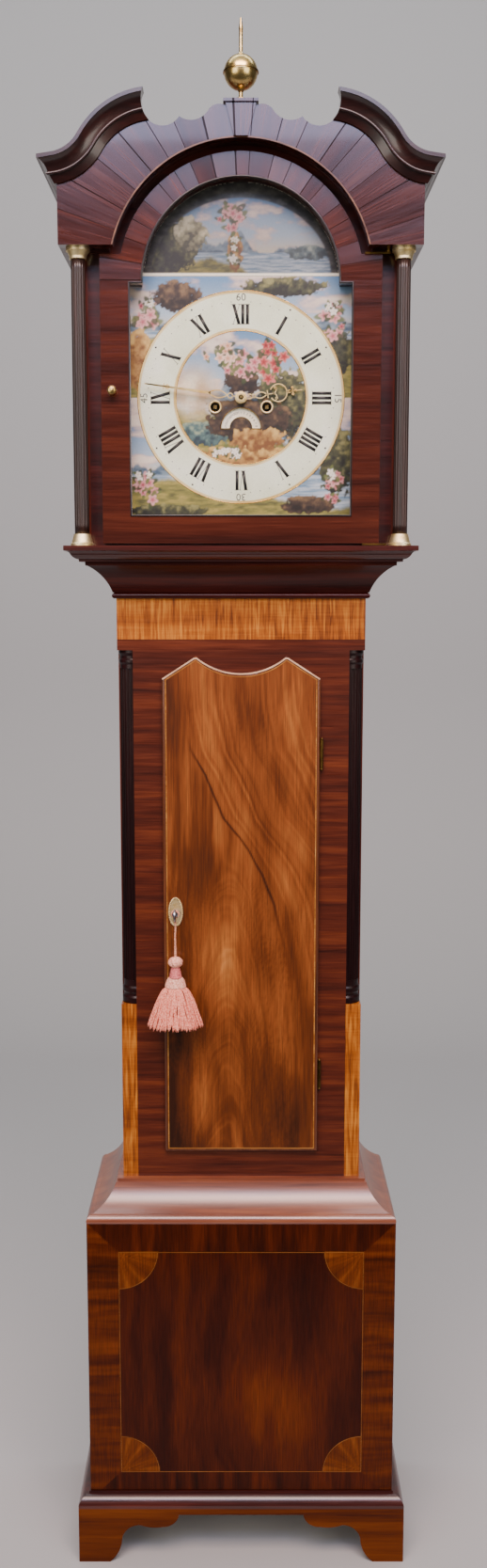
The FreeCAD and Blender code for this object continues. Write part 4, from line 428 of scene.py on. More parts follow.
dress(mahogany, "plinth_moulding", "hood_base_moulding", "frieze_returns", "mask_board")
dress(shaded_mahogany, "throat_moulding")
dress(painted_highlight_mahogany, "waist_moulding")
dress(painted_shade_mahogany, "swan_neck_mouldings")
dress(upright_mahogany, "base_carcass", "trunk_cheeks", "hood_carcass", "base_front_panel")
dress(trunk_banding, "trunk_front_frame")
dress(honey_mahogany, "trunk_door_panel")
dress(foot_wood, "bracket_feet")
dress(fan_veneer, "pediment_fascia", "pediment_keystone")
dress(door_veneer, "hood_door_frame")
dress(curled_maple, "maple_panels")
dress(ebonised, "quarter_columns")
dress(pine, "backboard", "seatboard")
print("woods:", len(bpy.data.materials))

# %% [markdown]
# ## Metals, glass and line
# The fittings are lacquered brass, warm and a little uneven where the lacquer has worn. The movement is
# the same brass, with pallets, hammer and pendulum rod of steel. The glass is thin window glass: mostly
# clear, with a faint reflection.

# %% Metals
def metal(name, dark, light, roughness, patch=18 * MM, coat=0.0):
    """A metal whose colour and gloss drift slowly over the surface, from handling and old lacquer."""
    material, add = new_material(name)
    where = add("TexCoord")["Object"]
    drift_links = {"Vector": where, "Scale": 1 / patch, "Detail": 4.0, "Roughness": 0.6}
    drift = add("TexNoise", drift_links)[0]
    shade = add("ValToRGB", {0: drift}, ((0.32, dark), (0.62, light)))[0]
    gloss = add("MapRange", {0: drift, 3: roughness + 0.1, 4: roughness - 0.06})[0]
    sockets = {"Base Color": shade, "Metallic": 1.0, "Roughness": gloss, "Coat Weight": coat}
    finish(add, sockets)
    return material


brass = metal("lacquered_brass", "#9a7a3c", "#e6cb86", 0.26, coat=0.3)
dark_brass = metal("tarnished_brass", "#2e2110", "#6b5229", 0.4)
pale_brass = metal("pale_brass", "#d8bc78", "#fcebc0", 0.46)
gilt = metal("gilt_brass", "#b8892f", "#e9c877", 0.24)
steel = metal("polished_steel", "#77777a", "#b9bbc0", 0.3)
bell_metal = metal("turned_bell_metal", "#8a7446", "#c2ab78", 0.3)
lead = metal("cast_lead", "#4d4f54", "#74777c", 0.55)
print("woods and metals:", len(bpy.data.materials))

# %% Glass, gut and enamel
glass, add = new_material("window_glass")
finish(add, {"Base Color": colour("#20242a"), "Roughness": 0.03, "Alpha": 0.05})


def mottled(name, patch, stops, roughness, detail=3.0, **sockets):
    """A plain finish whose colour drifts between two stops over patches of one size."""
    material, add = new_material(name)
    where = add("TexCoord")["Object"]
    drift = add("TexNoise", {"Vector": where, "Scale": 1 / patch, "Detail": detail})[0]
    shade = add("ValToRGB", {0: drift}, stops)[0]
    finish(add, {"Base Color": shade, "Roughness": roughness} | sockets)
    return material


gut = mottled("gut_line", 3 * MM, ((0.35, "#8f7440"), (0.65, "#c7ae74")), 0.5, detail=2.0)
enamel = mottled("dial_enamel", 25 * MM, ((0.35, "#e6e0c6"), (0.65, "#f7f4e2")), 0.35)

dress(enamel, "dial_plate", "date_disc")
dress(brass, "ball_finial", "hood_door_knob")
dress(dark_brass, "trunk_hinge_plates", "trunk_door_hinge_leaves", "hood_door_straps")
dress(pale_brass, "escutcheon", "column_brasses")
dress(brass, "movement_plates", "back_cock", "cannon_pinion", "hour_wheel", "minute_wheel", "centre_wheel")
dress(brass, "third_wheel", "escape_wheel", "going_barrel", "going_great_wheel", "strike_barrel")
dress(brass, "strike_great_wheel", "pendulum_bob")
dress(steel, "door_lock", "lock_bolt", "door_key", "pallets", "pendulum_rod", "hammer")
dress(bell_metal, "bell")
dress(lead, "going_weight", "strike_weight")
dress(glass, "hood_door_glass")
print("materials on the solids:", len(bpy.data.materials))

# %% [markdown]
# ## The painted dial
# A Georgian provincial dial is sheet iron, painted cream and then decorated by an artist: a view in the
# arch, another in the centre, and sprays of flowers in the corners. Here every point of a fine sheet
# carries the colour of the paint that lies on it. The painter works from back to front, as on the real
# iron: sky, cloud, hills, water, lawn, then trees and blossom over them.

# %% Paint
def painted(name, grain, contrast, **sockets):
    """A finish over the sheet's own colours, toned by marks as long as grain in x, y and z.

    Contrast is the noise's lowest and highest value that counts, and what the colour is multiplied by there.
    """
    material, add = new_material(name)
    picture = add("Attribute", attribute_name="paint")["Color"]
    where = add("TexCoord")["Object"]
    marks = streaks(add, where, grain, {"Detail": 3.0})
    tone = add("MapRange", {0: marks} | dict(enumerate(contrast, 1)))[0]
    shade = add("VectorMath", {0: picture, "Scale": tone}, operation="SCALE")[0]
    finish(add, {"Base Color": shade} | sockets)
    return material


BRUSH = (2.5 * MM,) * 3
varnish = {"Roughness": 0.42, "Coat Weight": 0.2, "Coat Roughness": 0.15}
paint = painted("varnished_oil_paint", BRUSH, (0.0, 1.0, 0.86, 1.12), **varnish)
print("brush marks:", BRUSH[0] / MM, "mm")

# %% [markdown]
# A landscape needs no drawing: the height above the horizon says what is there, and noise breaks the edges.

# %% Landscape
def landscape(x, z, horizon, top, seed):
    """A view by the height above its horizon: sky with lit cloud, far hills, a lake, and a lawn in front."""
    reach = top - horizon
    height = (z - horizon) / reach
    cloud = cloudy(x / 34, z / 17, seed)
    view = tint(height, (0.0, "#d8cdb6"), (0.3, "#a9bfcf"), (1.0, "#5f8ab4"))
    view = over(view, tint(cloud, (0.45, "#c79f9a"), (0.75, "#f0e2cd")), smoothstep(0.47, 0.66, cloud) * 0.9)
    ridge = 0.75 * (cloudy(x / 30, 0 * x, seed + 20, 5) - 0.3)
    hills = tint(cloudy(x / 7, z / 5, seed + 5), (0.25, "#465c72"), (0.75, "#8ba0ab"))
    view = over(view, hills, smoothstep(ridge + 0.03, ridge - 0.03, height))
    water = tint(cloudy(x / 16, z / 1.8, seed + 9), (0.3, "#6f8fa8"), (0.7, "#c2d0d8"))
    view = over(view, water, smoothstep(0.02, -0.02, height))
    bank = -0.1 - 0.5 * smoothstep(-60, 90, x) + 0.2 * (cloudy(x / 14, 0 * x, seed + 30) - 0.5)
    lawn = tint(cloudy(x / 10, z / 3, seed + 11), (0.2, "#5a5a34"), (0.5, "#83803f"), (0.8, "#aa9c52"))
    return over(view, lawn, smoothstep(bank + 0.05, bank - 0.05, height))


# %% [markdown]
# Bushes and flowers go over it. A bush is one ragged oval. A spray is many blossoms, each a five-petalled
# shape with a leaf, scattered by a seeded draw so that they fall the same way on every run.

# %% Plants
LEAF_CLUMP = 7.0


def foliage(view, x, z, centre, size, seed, stops):
    """A clump of leaves: an oval whose edge and tone are broken by noise, lighter towards its top."""
    oval = 1 - ((x - centre[0]) / size[0]) ** 2 - ((z - centre[1]) / size[1]) ** 2
    leaves = cloudy(x / LEAF_CLUMP, z / LEAF_CLUMP, seed)
    lit = leaves + 0.22 * (z - centre[1]) / size[1]
    return over(view, tint(lit, *stops), smoothstep(-0.12, 0.12, oval + 1.6 * (leaves - 0.5)))


def spray(view, x, z, centre, size, count, bloom, seed, stops):
    """Blossoms scattered in an oval, each on a leaf. A blossom's edge swings in and out five times a turn."""
    pick = np.random.default_rng(seed)
    for turn, reach, grow, lean in pick.random((count, 4)):
        side = x - centre[0] - size[0] * math.sqrt(reach) * math.cos(turn * math.tau)
        rise = z - centre[1] - size[1] * math.sqrt(reach) * math.sin(turn * math.tau)
        radius = bloom * (0.65 + 0.7 * grow)
        angle = lean * math.tau
        length = (side * math.cos(angle) + rise * math.sin(angle)) / (1.9 * radius)
        width = (rise * math.cos(angle) - side * math.sin(angle)) / (0.6 * radius)
        leaf = smoothstep(1.0, 0.75, np.hypot(length, width))
        view = over(view, tint(length, (-1.0, "#27331f"), (1.0, "#6f7b40")), leaf * 0.9)
        share = np.hypot(side, rise) / radius / (0.8 + 0.2 * np.cos(5 * np.arctan2(rise, side) + angle))
        view = over(view, tint(share + 0.4 * (grow - 0.5), *stops), smoothstep(1.05, 0.8, share))
    return view


def planted(view, x, z, bushes, sprays):
    """Lays rows of foliage over a view, then rows of sprays. Each row is what its function asks for."""
    for bush in bushes:
        view = foliage(view, x, z, *bush)
    for flowers in sprays:
        view = spray(view, x, z, *flowers)
    return view


ROSE = ((0.0, "#8c2f3a"), (0.35, "#c06a72"), (1.0, "#e6b3ae"))
RED = ((0.0, "#7a1d20"), (0.5, "#b5423f"), (1.0, "#d98a80"))
PEACH = ((0.0, "#b5714f"), (0.5, "#dba98c"), (1.0, "#f0d3bd"))
WHITE = ((0.0, "#c9a860"), (0.3, "#ece6d4"), (1.0, "#f7f4ea"))
OCHRE = ((0.3, "#7a4f28"), (0.6, "#b58a4a"), (0.9, "#d8b468"))
EARTH = ((0.3, "#241d18"), (0.6, "#4a3a2c"), (0.9, "#7d6444"))
LEAVES = ((0.3, "#23251c"), (0.6, "#474a30"), (0.9, "#8d8a54"))
WILLOW = ((0.3, "#2f4048"), (0.6, "#56726f"), (0.9, "#9fae8c"))
BIRCH = ((0.3, "#4a4a38"), (0.6, "#9c9872"), (0.9, "#e6dcb8"))
ISLAND = ((0.3, "#39484c"), (0.6, "#64787a"), (0.9, "#a7b3a4"))
print("paint box ready")

# %% [markdown]
# The dial is laid out from its centre, where the hands turn. A sheet of paint is a square grid of
# points. Only the squares inside the picture's outline are kept, so that the winding holes and the date
# window stay open.

# %% Layout of the dial
DIAL_Z = joints["hour_hand_turn"]["pos_m"][2] / MM
DIAL_FRONT = node_box("dial_plate")[0][1]
ARCH_Z = ARCH_CENTRE / MM
CENTRE_R = 94.0
RING_INNER = 93.0
RING_OUTER = 148.0
PLATE_HALF = 158.0
PLATE_LOW = 1614.0
PLATE_SHOULDER = 1949.0
PLATE_TOP = 2077.0
PLATE_ARCH_R = 139.0
# Painted shade: the arch picture is painted at this share of its brightness.
ARCH_PAINTED_SHADE = 0.5
PICTURE_LIFT = 0.15
WHITE_LINE = 4.6
WINDING = (37.0, -12.7)
WINDING_R = 7.0
DATE_DROP = 42.4
DATE_INNER = 16.2
DATE_OUTER = 28.4


def grid(x_range, z_range, pitch):
    """The x and z of a square grid that covers two ranges."""
    x = np.arange(x_range[0], x_range[1] + pitch, pitch)
    z = np.arange(z_range[0], z_range[1] + pitch, pitch)
    return np.meshgrid(x, z)


def sheet(name, x, z, front, lift, painter, body, slot, material, keep=None):
    """A thin sheet on a flat front, coloured by painter(x, z). Keep(x, z) says which squares stay."""
    points = join(x, front - lift, z)
    faces = quads(*x.shape)
    if keep:
        middle = points.reshape(-1, 3)[faces].mean(axis=1)
        faces = faces[keep(middle[:, 0], middle[:, 2])]
    faces, points, colours = used(faces, points, painter(x, z))
    return thicken(piece(name, points, faces, body, slot, material, paint=colours), lift)


def in_centre(x, z):
    """Inside the chapter ring, outside the winding holes and the date window."""
    rise = z - DIAL_Z
    hole = np.hypot(np.abs(x) - WINDING[0], rise - WINDING[1]) < WINDING_R
    from_date = np.hypot(x, rise + DATE_DROP)
    window = (from_date > DATE_INNER) & (from_date < DATE_OUTER) & (rise > -DATE_DROP)
    return (np.hypot(x, rise) < CENTRE_R) & ~hole & ~window


print("dial centre at", round(DIAL_Z, 1), "mm")

# %% [markdown]
# Each picture is a function of place. The rows in it say where a bush or a spray stands, how wide and high
# it is, how many blossoms it has and of what size, the seed of its noise, and its colours.

# %% Painters
def paint_centre(x, z):
    """A lake among hills under a blue sky, with roses above and ochre bushes on dark rock below."""
    v = z - DIAL_Z
    view = landscape(x, v, -8, 95, 4)
    haze = smoothstep(1.5, 0.4, np.hypot((x + 68) / 34, (v - 8) / 34))
    view = over(view, tint(cloudy(x / 18, v / 14, 71), (0.3, "#d2b58c"), (0.7, "#f0e3c4")), 0.85 * haze)
    bushes = (
        ((62, -8), (44, 46), 12, LEAVES), ((-58, -50), (40, 17), 14, WILLOW), ((4, -84), (90, 16), 16, OCHRE),
        ((10, -30), (58, 32), 18, EARTH), ((24, -58), (40, 17), 20, OCHRE), ((2, 24), (26, 20), 22, EARTH),
    )
    sprays = (
        ((43, 50), (23, 26), 16, 8.0, 24, RED), ((2, 44), (24, 18), 12, 8.0, 26, ROSE),
        ((-32, 60), (20, 17), 11, 6.5, 28, PEACH), ((-18, -76), (30, 6), 12, 4.5, 30, WHITE),
    )
    return planted(view, x, v, bushes, sprays)


def paint_corners(x, z):
    """Two views, one above the other, with a spray of roses in every corner."""
    v = z - DIAL_Z
    upper = landscape(x * 0.7, v, 92, 168, 41)
    lower = landscape(x * 0.7, v, -108, -30, 47)
    view = np.where((v > 0)[..., None], upper, lower)
    bushes = (
        ((60, 152), (58, 14), 50, LEAVES), ((-92, 140), (34, 20), 52, EARTH),
        ((132, 62), (30, 34), 54, LEAVES), ((-146, 56), (18, 40), 56, OCHRE),
        ((140, -90), (26, 50), 58, LEAVES), ((96, -150), (40, 12), 60, EARTH),
        ((-110, -158), (60, 9), 62, LEAVES),
    )
    sprays = []
    for side, rise, seed in ((-130, 112, 64), (132, 108, 66), (-136, -126, 68), (136, -128, 70)):
        sprays.append(((side, rise), (15, 24), 12, 7.5, seed, ROSE))
        sprays.append(((side - 4, rise + 18), (9, 8), 4, 5.0, seed + 1, WHITE))
    return planted(view, x, v, bushes, sprays)


def paint_arch(x, z):
    """A lake seen past trees, with a tall stem of flowers in front, inside a dark mottled border, all at half
    brightness as painted shade.
    """
    v = z - ARCH_Z
    view = landscape(x, v, 44, 122, 84)
    bushes = (
        ((-108, 52), (46, 42), 86, LEAVES), ((-70, 70), (22, 22), 88, BIRCH),
        ((96, 44), (34, 10), 90, ISLAND), ((-8, 46), (11, 30), 92, OCHRE),
    )
    sprays = (((-8, 40), (8, 24), 8, 5.0, 94, WHITE), ((-14, 92), (19, 17), 15, 7.0, 96, ROSE))
    view = planted(view, x, v, bushes, sprays)
    slate = tint(cloudy(x / 9, v / 5, 98), (0.25, "#343330"), (0.5, "#4b4a46"), (0.75, "#68665f"))
    inside = np.hypot(x / 127, (v - 12) / 106)
    # Painted shade: the whole arch picture is halved in brightness, as if the hood shaded it.
    view = ARCH_PAINTED_SHADE * over(view, slate, smoothstep(0.985, 1.015, inside))
    line = tint(x, (0.0, "#f4f0dc"))
    return over(view, line, smoothstep(0.5, -0.5, z - PLATE_SHOULDER - WHITE_LINE))


# %% [markdown]
# Each picture then goes on a thin sheet of its own. The more there is to see in it, the closer its points
# lie.

# %% Pictures on the plate
def in_corners(x, z):
    """Round the chapter ring, inside the plate's square."""
    return (np.hypot(x, z - DIAL_Z) > RING_OUTER - 2) & (z < PLATE_SHOULDER)


def in_arch(x, z):
    """Inside the plate's arch, with the white line that closes it below."""
    return (np.hypot(x, z - ARCH_Z) < PLATE_ARCH_R) & (z > PLATE_SHOULDER)


PICTURES = {
    "dial_centre_picture": (CENTRE_R, DIAL_Z - CENTRE_R, DIAL_Z + CENTRE_R, 1.0, paint_centre, in_centre),
    "dial_corner_pictures": (PLATE_HALF, PLATE_LOW, PLATE_SHOULDER, 1.3, paint_corners, in_corners),
    "dial_arch_picture": (PLATE_ARCH_R + 1, PLATE_SHOULDER, PLATE_TOP, 1.2, paint_arch, in_arch),
}
for name, (half, low, high, pitch, painter, keep) in PICTURES.items():
    x, z = grid((-half, half), (low, high), pitch)
    sheet(name, x, z, DIAL_FRONT, PICTURE_LIFT, painter, "case", "dial_paint", paint, keep)
print("pictures on the plate:", len(PICTURES))

# %% [markdown]
# ## The chapter ring
# The hours stand on a cream ring with a gold line at both edges. A Roman numeral is built of thick
# strokes, made with the flat of the brush, and thin ones, made with its edge. Each stroke is one
# four-cornered patch, laid out as if at twelve o'clock and then turned round the dial with its foot to
# the centre.

# %% Strokes of the numerals
HOURS = ("XII", "I", "II", "III", "IIII", "V", "VI", "VII", "VIII", "IX", "X", "XI")
THICK = 4.3
THIN = 0.6
SERIF = 1.3
STROKES = {
    "I": ((0.0, 0.0, THICK),),
    "V": ((0.2, -3.8, THICK), (1.0, 4.6, THIN)),
    "X": ((3.8, -3.8, THICK), (-4.4, 4.4, THIN)),
}
ADVANCE = {"I": 6.6, "V": 11.4, "X": 11.8}
NUMERAL_FOOT = 102.0
NUMERAL_HEAD = 129.0
RING_LIFT = 0.4
INK_LIFT = 0.55


def on_dial(u, v, turn, y, centre=DIAL_Z):
    """Turns shapes round the dial at depth y: u sideways, v out from the centre, clockwise from twelve."""
    x = u * np.cos(turn) + v * np.sin(turn)
    z = centre - u * np.sin(turn) + v * np.cos(turn)
    return join(x, y, z)


def patches(corners):
    """Four-cornered patches, an array of (patch, corner, xyz), as points and faces."""
    return corners.reshape(-1, 3), np.arange(corners.size // 3).reshape(-1, 4)


def numeral(hour, word):
    """The strokes and serifs of one numeral, centred across its own width."""
    place = -sum(ADVANCE[letter] for letter in word) / 2
    marks = []
    for letter in word:
        place += ADVANCE[letter] / 2
        for foot, head, width in STROKES[letter]:
            marks.append((place + foot, place + head, width / 2, NUMERAL_FOOT, NUMERAL_HEAD))
            for end, level in ((foot, NUMERAL_FOOT), (head, NUMERAL_HEAD)):
                spot = place + end
                marks.append((spot, spot, width / 2 + SERIF, level - THIN / 2, level + THIN / 2))
        place += ADVANCE[letter] / 2
    foot, head, half, low, high = np.array(marks).T
    u = join(foot - half, foot + half, head + half, head - half)
    v = join(low, low, high, high)
    return on_dial(u, v, hour * math.tau / 12, DIAL_FRONT - INK_LIFT)


print("strokes and serifs in XII:", len(numeral(0, "XII")))

# %% Chapter ring
ink = mottled("black_dial_ink", 3 * MM, ((0.4, "#1e1e20"), (0.8, "#46443f")), 0.4)

GILT_BAND = 3.6
RING_ROWS = 70
turn = circle(360)
radius = np.linspace(RING_INNER, RING_OUTER, RING_ROWS)[:, None]
points = on_dial(0.0, radius, turn, DIAL_FRONT - RING_LIFT)
age = cloudy(points[..., 0] / 40, points[..., 2] / 40, 101)
cream = tint(age, (0.3, "#e6efcf"), (0.6, "#f2fbe0"), (0.8, "#f6fde8"))
gold = tint(age, (0.3, "#cdae66"), (0.7, "#ecdca4"))
edge = np.broadcast_to(np.minimum(radius - RING_INNER, RING_OUTER - radius), age.shape)
cream = over(cream, gold, smoothstep(GILT_BAND + 0.5, GILT_BAND - 0.5, edge))
ring_faces = quads(*points.shape[:2], wrap_columns=True)
thicken(piece("chapter_ring", points, ring_faces, "case", "dial_paint", paint, paint=cream), RING_LIFT)
print("chapter ring:", len(ring_faces), "squares")

# %% Hours and minutes
hours = np.concatenate([numeral(hour, word) for hour, word in enumerate(HOURS)])
thicken(piece("hour_numerals", *patches(hours), "case", "dial_paint", ink), INK_LIFT - RING_LIFT)

FIVE_HALF, FIVE_R = 1.6, 140.0
MINUTE_HALF, MINUTE_R = 0.8, 133.0
minute = np.arange(60)[np.arange(60) % 15 != 0, None]
half = np.where(minute % 5 == 0, FIVE_HALF, MINUTE_HALF)
level = np.where(minute % 5 == 0, FIVE_R, MINUTE_R)
diamond_u = half * np.array([-1.0, 0.0, 1.0, 0.0])
diamond_v = level + half * np.array([0.0, -1.0, 0.0, 1.0])
marks = on_dial(diamond_u, diamond_v, minute * math.tau / 60, DIAL_FRONT - INK_LIFT)
thicken(piece("minute_marks", *patches(marks), "case", "dial_paint", ink), INK_LIFT - RING_LIFT)
print("strokes and serifs:", len(hours), "minute marks:", len(marks))

# %% [markdown]
# The minutes are numbered at the quarters only, small and faint, and the days of the month stand on a
# disc behind the date window. Both are set in type: each word becomes a flat mesh first, and is then
# turned round its centre.

# %% Type
def curve_mesh(curve):
    """The points and triangles that a curve or a word turns into. The curve itself is thrown away."""
    holder = bpy.data.objects.new(curve.name, curve)
    mesh = bpy.data.meshes.new_from_object(holder)
    mesh.calc_loop_triangles()
    points = np.empty((len(mesh.vertices), 3), np.float32)
    faces = np.empty((len(mesh.loop_triangles), 3), np.int32)
    mesh.vertices.foreach_get("co", points.ravel())
    mesh.loop_triangles.foreach_get("vertices", faces.ravel())
    bpy.data.batch_remove((holder, mesh, curve))
    return points.astype(float), faces


def letters(word, size):
    """A word as flat triangles about its own middle."""
    curve = bpy.data.curves.new("word", "FONT")
    curve.body = word
    curve.size = size
    curve.align_x = "CENTER"
    curve.align_y = "CENTER"
    curve.resolution_u = 3
    return curve_mesh(curve)


def merged(parts):
    """Several (points, faces) pairs as one pair, with the faces renumbered."""
    starts = np.cumsum([0] + [len(points) for points, _ in parts[:-1]])
    faces = [part[1] + start for part, start in zip(parts, starts)]
    return np.concatenate([part[0] for part in parts]), np.concatenate(faces)


def number_ring(words, size, radius, centre):
    """Words spread evenly round a circle, with their feet to its centre."""
    parts = []
    for place, word in enumerate(words):
        flat, faces = letters(word, size)
        turn = place * math.tau / len(words)
        parts.append((on_dial(flat[:, 0], radius + flat[:, 1], turn, DIAL_FRONT, centre), faces))
    return merged(parts)


print("triangles in a zero:", len(letters("0", 1.0)[1]))

# %% Small numbers
QUARTER_SIZE = 14.5
QUARTER_R = 138.5
DATE_SIZE = 4.6
DATE_LIFT = 0.12
FAINT = "#62655c"

points, faces = number_ring(("60", "15", "30", "45"), QUARTER_SIZE, QUARTER_R, DIAL_Z)
points[:, 1] -= INK_LIFT
faded = np.broadcast_to(colour(FAINT)[:3], points.shape)
quarters = piece("quarter_minutes", points, faces, "case", "dial_paint", paint, paint=faded)
thicken(quarters, INK_LIFT - RING_LIFT)

disc_front = node_box("date_disc")[0][1]
dates = [str(day) for day in range(1, 32)]
points, faces = number_ring(dates, DATE_SIZE, (DATE_INNER + DATE_OUTER) / 2, DIAL_Z - DATE_DROP)
points[:, 1] = disc_front - DATE_LIFT
thicken(piece("date_numbers", points, faces, "date_disc", "dial_paint", ink), DATE_LIFT)
print("dates:", len(dates), "disc front at", round(disc_front, 2))

# %% [markdown]
# Thin gilt rings finish the dial: lines round the chapter ring, a raised rim at each winding hole and a
# bead round the date window. A ring is a torus. The bead follows an outline, so it is swept: a small
# section is carried along the path and mitred at the corners, where it has to reach a little further.

# %% Rings and swept sections
def torus(radius, thick, centre, lift, turns=180, sides=10):
    """A ring facing forwards: a small circle, of radius thick, carried round a large one about (x, z)."""
    t = circle(turns)
    s = circle(sides)[:, None]
    reach = radius + thick * np.cos(s)
    x = centre[0] + reach * np.sin(t)
    z = centre[1] + reach * np.cos(t)
    y = DIAL_FRONT - lift + thick * np.sin(s)
    points = join(x, y, z)
    return points.reshape(-1, 3), quads(sides, turns, True, True)


def along_path(path, profile, closed=True):
    """A section of (out, y) steps carried along a path of (x, z) points, with out to the left of the path.

    The step out at a corner is the sum of the two normals that meet there, over one plus their dot product.
    """
    ahead = np.roll(path, -1, axis=0) - path
    if not closed:
        ahead[-1] = ahead[-2]
    ahead = ahead / np.linalg.norm(ahead, axis=1, keepdims=True)
    normal = join(-ahead[:, 1], ahead[:, 0])
    before = np.roll(normal, 1, axis=0)
    if not closed:
        before[0] = normal[0]
    mitre = (normal + before) / (1 + np.sum(normal * before, axis=1, keepdims=True))
    profile = np.array(profile)
    flat = path + mitre * profile[:, None, :1]
    y = np.broadcast_to(profile[:, 1:], flat.shape[:2])
    points = join(flat[..., 0], y, flat[..., 1])
    return points.reshape(-1, 3), quads(len(profile), len(path), True, closed)


def arc(centre, radius, start, end, count):
    """Points on part of a circle, with angles in degrees measured from the right, upwards."""
    angle = np.radians(np.linspace(start, end, count))
    return join(centre[0] + radius * np.cos(angle), centre[1] + radius * np.sin(angle))


print("squares in a torus:", len(torus(1.0, 0.1, (0, 0), 0.0)[1]))

# %% Gilt lines
GILT_R = 0.5
RIM_R = 1.7
RIM_GAP = 1.0
rings = [torus(radius, GILT_R, (0, DIAL_Z), RING_LIFT) for radius in (RING_OUTER, RING_INNER)]
piece("gilt_dial_rings", *merged(rings), "case", "gilt_brass", gilt)
holes = [(side, DIAL_Z + WINDING[1]) for side in (WINDING[0], -WINDING[0])]
rims = [torus(WINDING_R + RIM_GAP, RIM_R, hole, PICTURE_LIFT, 48) for hole in holes]
piece("winding_rims", *merged(rims), "case", "brass", pale_brass)

date_centre = (0.0, DIAL_Z - DATE_DROP)
window = np.concatenate([arc(date_centre, DATE_OUTER, 0, 180, 33), arc(date_centre, DATE_INNER, 180, 0, 25)])
back = DIAL_FRONT + 0.5
front = DIAL_FRONT - 0.9
bead = ((-1.1, back), (-1.1, DIAL_FRONT - 0.5), (-0.6, front), (0.0, front), (0.0, back))
piece("date_window_bead", *along_path(window, bead), "case", "gilt_brass", gilt, smooth=False)
print("gilt rings:", len(rings), "and a bead of", len(window), "corners")

# %% [markdown]
# ## The trunk door's veneer
# The door shows the finest wood on the case: one leaf of mahogany cut through a crotch of the tree. A
# dark vein wanders down it. To its right the fibres run beside the vein, and to its left the growth
# rings stand in tall arches. A procedural wood cannot know this, so the leaf is painted point by point
# like the dial, from two noises: one over the distance from the vein, and one over the height of an
# arch.

# %% Painted veneer
def veneer(name, fibre_length, fibre_width, coat, gleam):
    """Polished wood whose figure comes from the sheet's own colours, with fine upright fibres over them."""
    polish = {"Roughness": 0.34, "IOR": 1.5, "Specular IOR Level": gleam}
    polish |= {"Coat Weight": coat, "Coat Roughness": 0.14}
    return painted(name, (fibre_width, fibre_width, fibre_length), (0.3, 0.7, 0.7, 1.3), **polish)


DOOR_LOW, DOOR_HIGH = node_box("trunk_door_panel")
DOOR_HALF = DOOR_HIGH[0]
DOOR_HEIGHT = DOOR_HIGH[2] - DOOR_LOW[2]
DOOR_PEAK = 67.0
DOOR_HOLLOW = 24.6
DOOR_DROP = 32.6
DOOR_TONES = ((0.1, "#2c1205"), (0.35, "#5c2b0d"), (0.5, "#7d421a"), (0.66, "#985a27"), (0.9, "#be8144"))
VEIN_HEIGHTS = (0.0, 0.25, 0.40, 0.51, 0.574, 0.62, 0.684, 0.77, 0.818, 0.90, 1.0)
VEIN_SIDES = (88.0, 83.0, 72.0, 52.0, 32.0, 10.0, -27.0, -54.0, -75.0, -88.0, -94.0)


def door_top(x):
    """The door's top edge: straight shoulders up to two peaks, and part of a circle sagging between them."""
    hollow_r = (DOOR_PEAK**2 + DOOR_HOLLOW**2) / (2 * DOOR_HOLLOW)
    side = np.abs(x)
    hollow = hollow_r - np.sqrt(hollow_r**2 - np.minimum(side, DOOR_PEAK) ** 2) - DOOR_HOLLOW
    shoulder = -DOOR_DROP * np.maximum(side - DOOR_PEAK, 0) / (DOOR_HALF - DOOR_PEAK)
    return DOOR_HIGH[2] + hollow + shoulder


def paint_door(x, z):
    """The figured leaf: streaks beside the vein, arches left of it, the vein, two patches of painted
    highlight, and painted shade.
    """
    share = (z - DOOR_LOW[2]) / DOOR_HEIGHT
    wander = 9 * (cloudy(x / 45, z / 90, 201, 3) - 0.5)
    beside = x - np.interp(share, VEIN_HEIGHTS, VEIN_SIDES) + wander
    fibres = 0.26 + 0.5 * cloudy(beside / 4.5, z / 300, 203, 4)
    arch = z + 0.0575 * (x + 22 + wander) ** 2 + 60 * (cloudy(x / 35, z / 60, 213, 3) - 0.5)
    rings = 0.1 + 0.45 * cloudy(arch / 9, x / 120, 205, 4) + 0.35 * cloudy(arch / 40, x / 150, 206, 3)
    plain = cloudy((x + wander) / 9, z / 240, 207, 4)
    left = rings + (plain - rings) * (0.3 + 0.7 * smoothstep(0.52, 0.66, share))
    figure = left + (fibres - left) * smoothstep(-10, 6, beside)
    tone = 0.46 + 0.6 * (figure - 0.5) + 0.5 * (cloudy(x / 38, z / 120, 211, 4) - 0.5)
    # Painted highlights: two pale patches where the light catches the figure.
    tone = tone + 0.22 * np.exp(-(((x + 26) / 26) ** 2) - ((z - 948) / 75) ** 2)
    tone = tone + 0.16 * np.exp(-(((x + 62) / 22) ** 2) - ((z - 745) / 80) ** 2)
    # Painted shade: darker towards the left edge and towards the foot of the door.
    tone = tone - 0.13 * smoothstep(-62, -112, x) - 0.2 * smoothstep(0.42, 0.05, share)
    line = np.exp(-((beside / 1.7) ** 2)) * smoothstep(0.42, 0.56, share) * smoothstep(0.85, 0.78, share)
    tone = tone - 0.42 * line
    return tint(tone, *DOOR_TONES)


print("door top at its peaks:", round(float(door_top(DOOR_PEAK)), 1), "mm")

# %% Door leaf
KEY = np.array(joints["key_turn"]["pos_m"]) / MM
KEY_HOLE_R = 8.0
EDGE = 5.0
LEAF_LIFT = 0.3
LEAF_PITCH = 2.0


def clear_of_key(x, z):
    """Leaves a hole for the key."""
    return np.hypot(x - KEY[0], z - KEY[2]) > KEY_HOLE_R


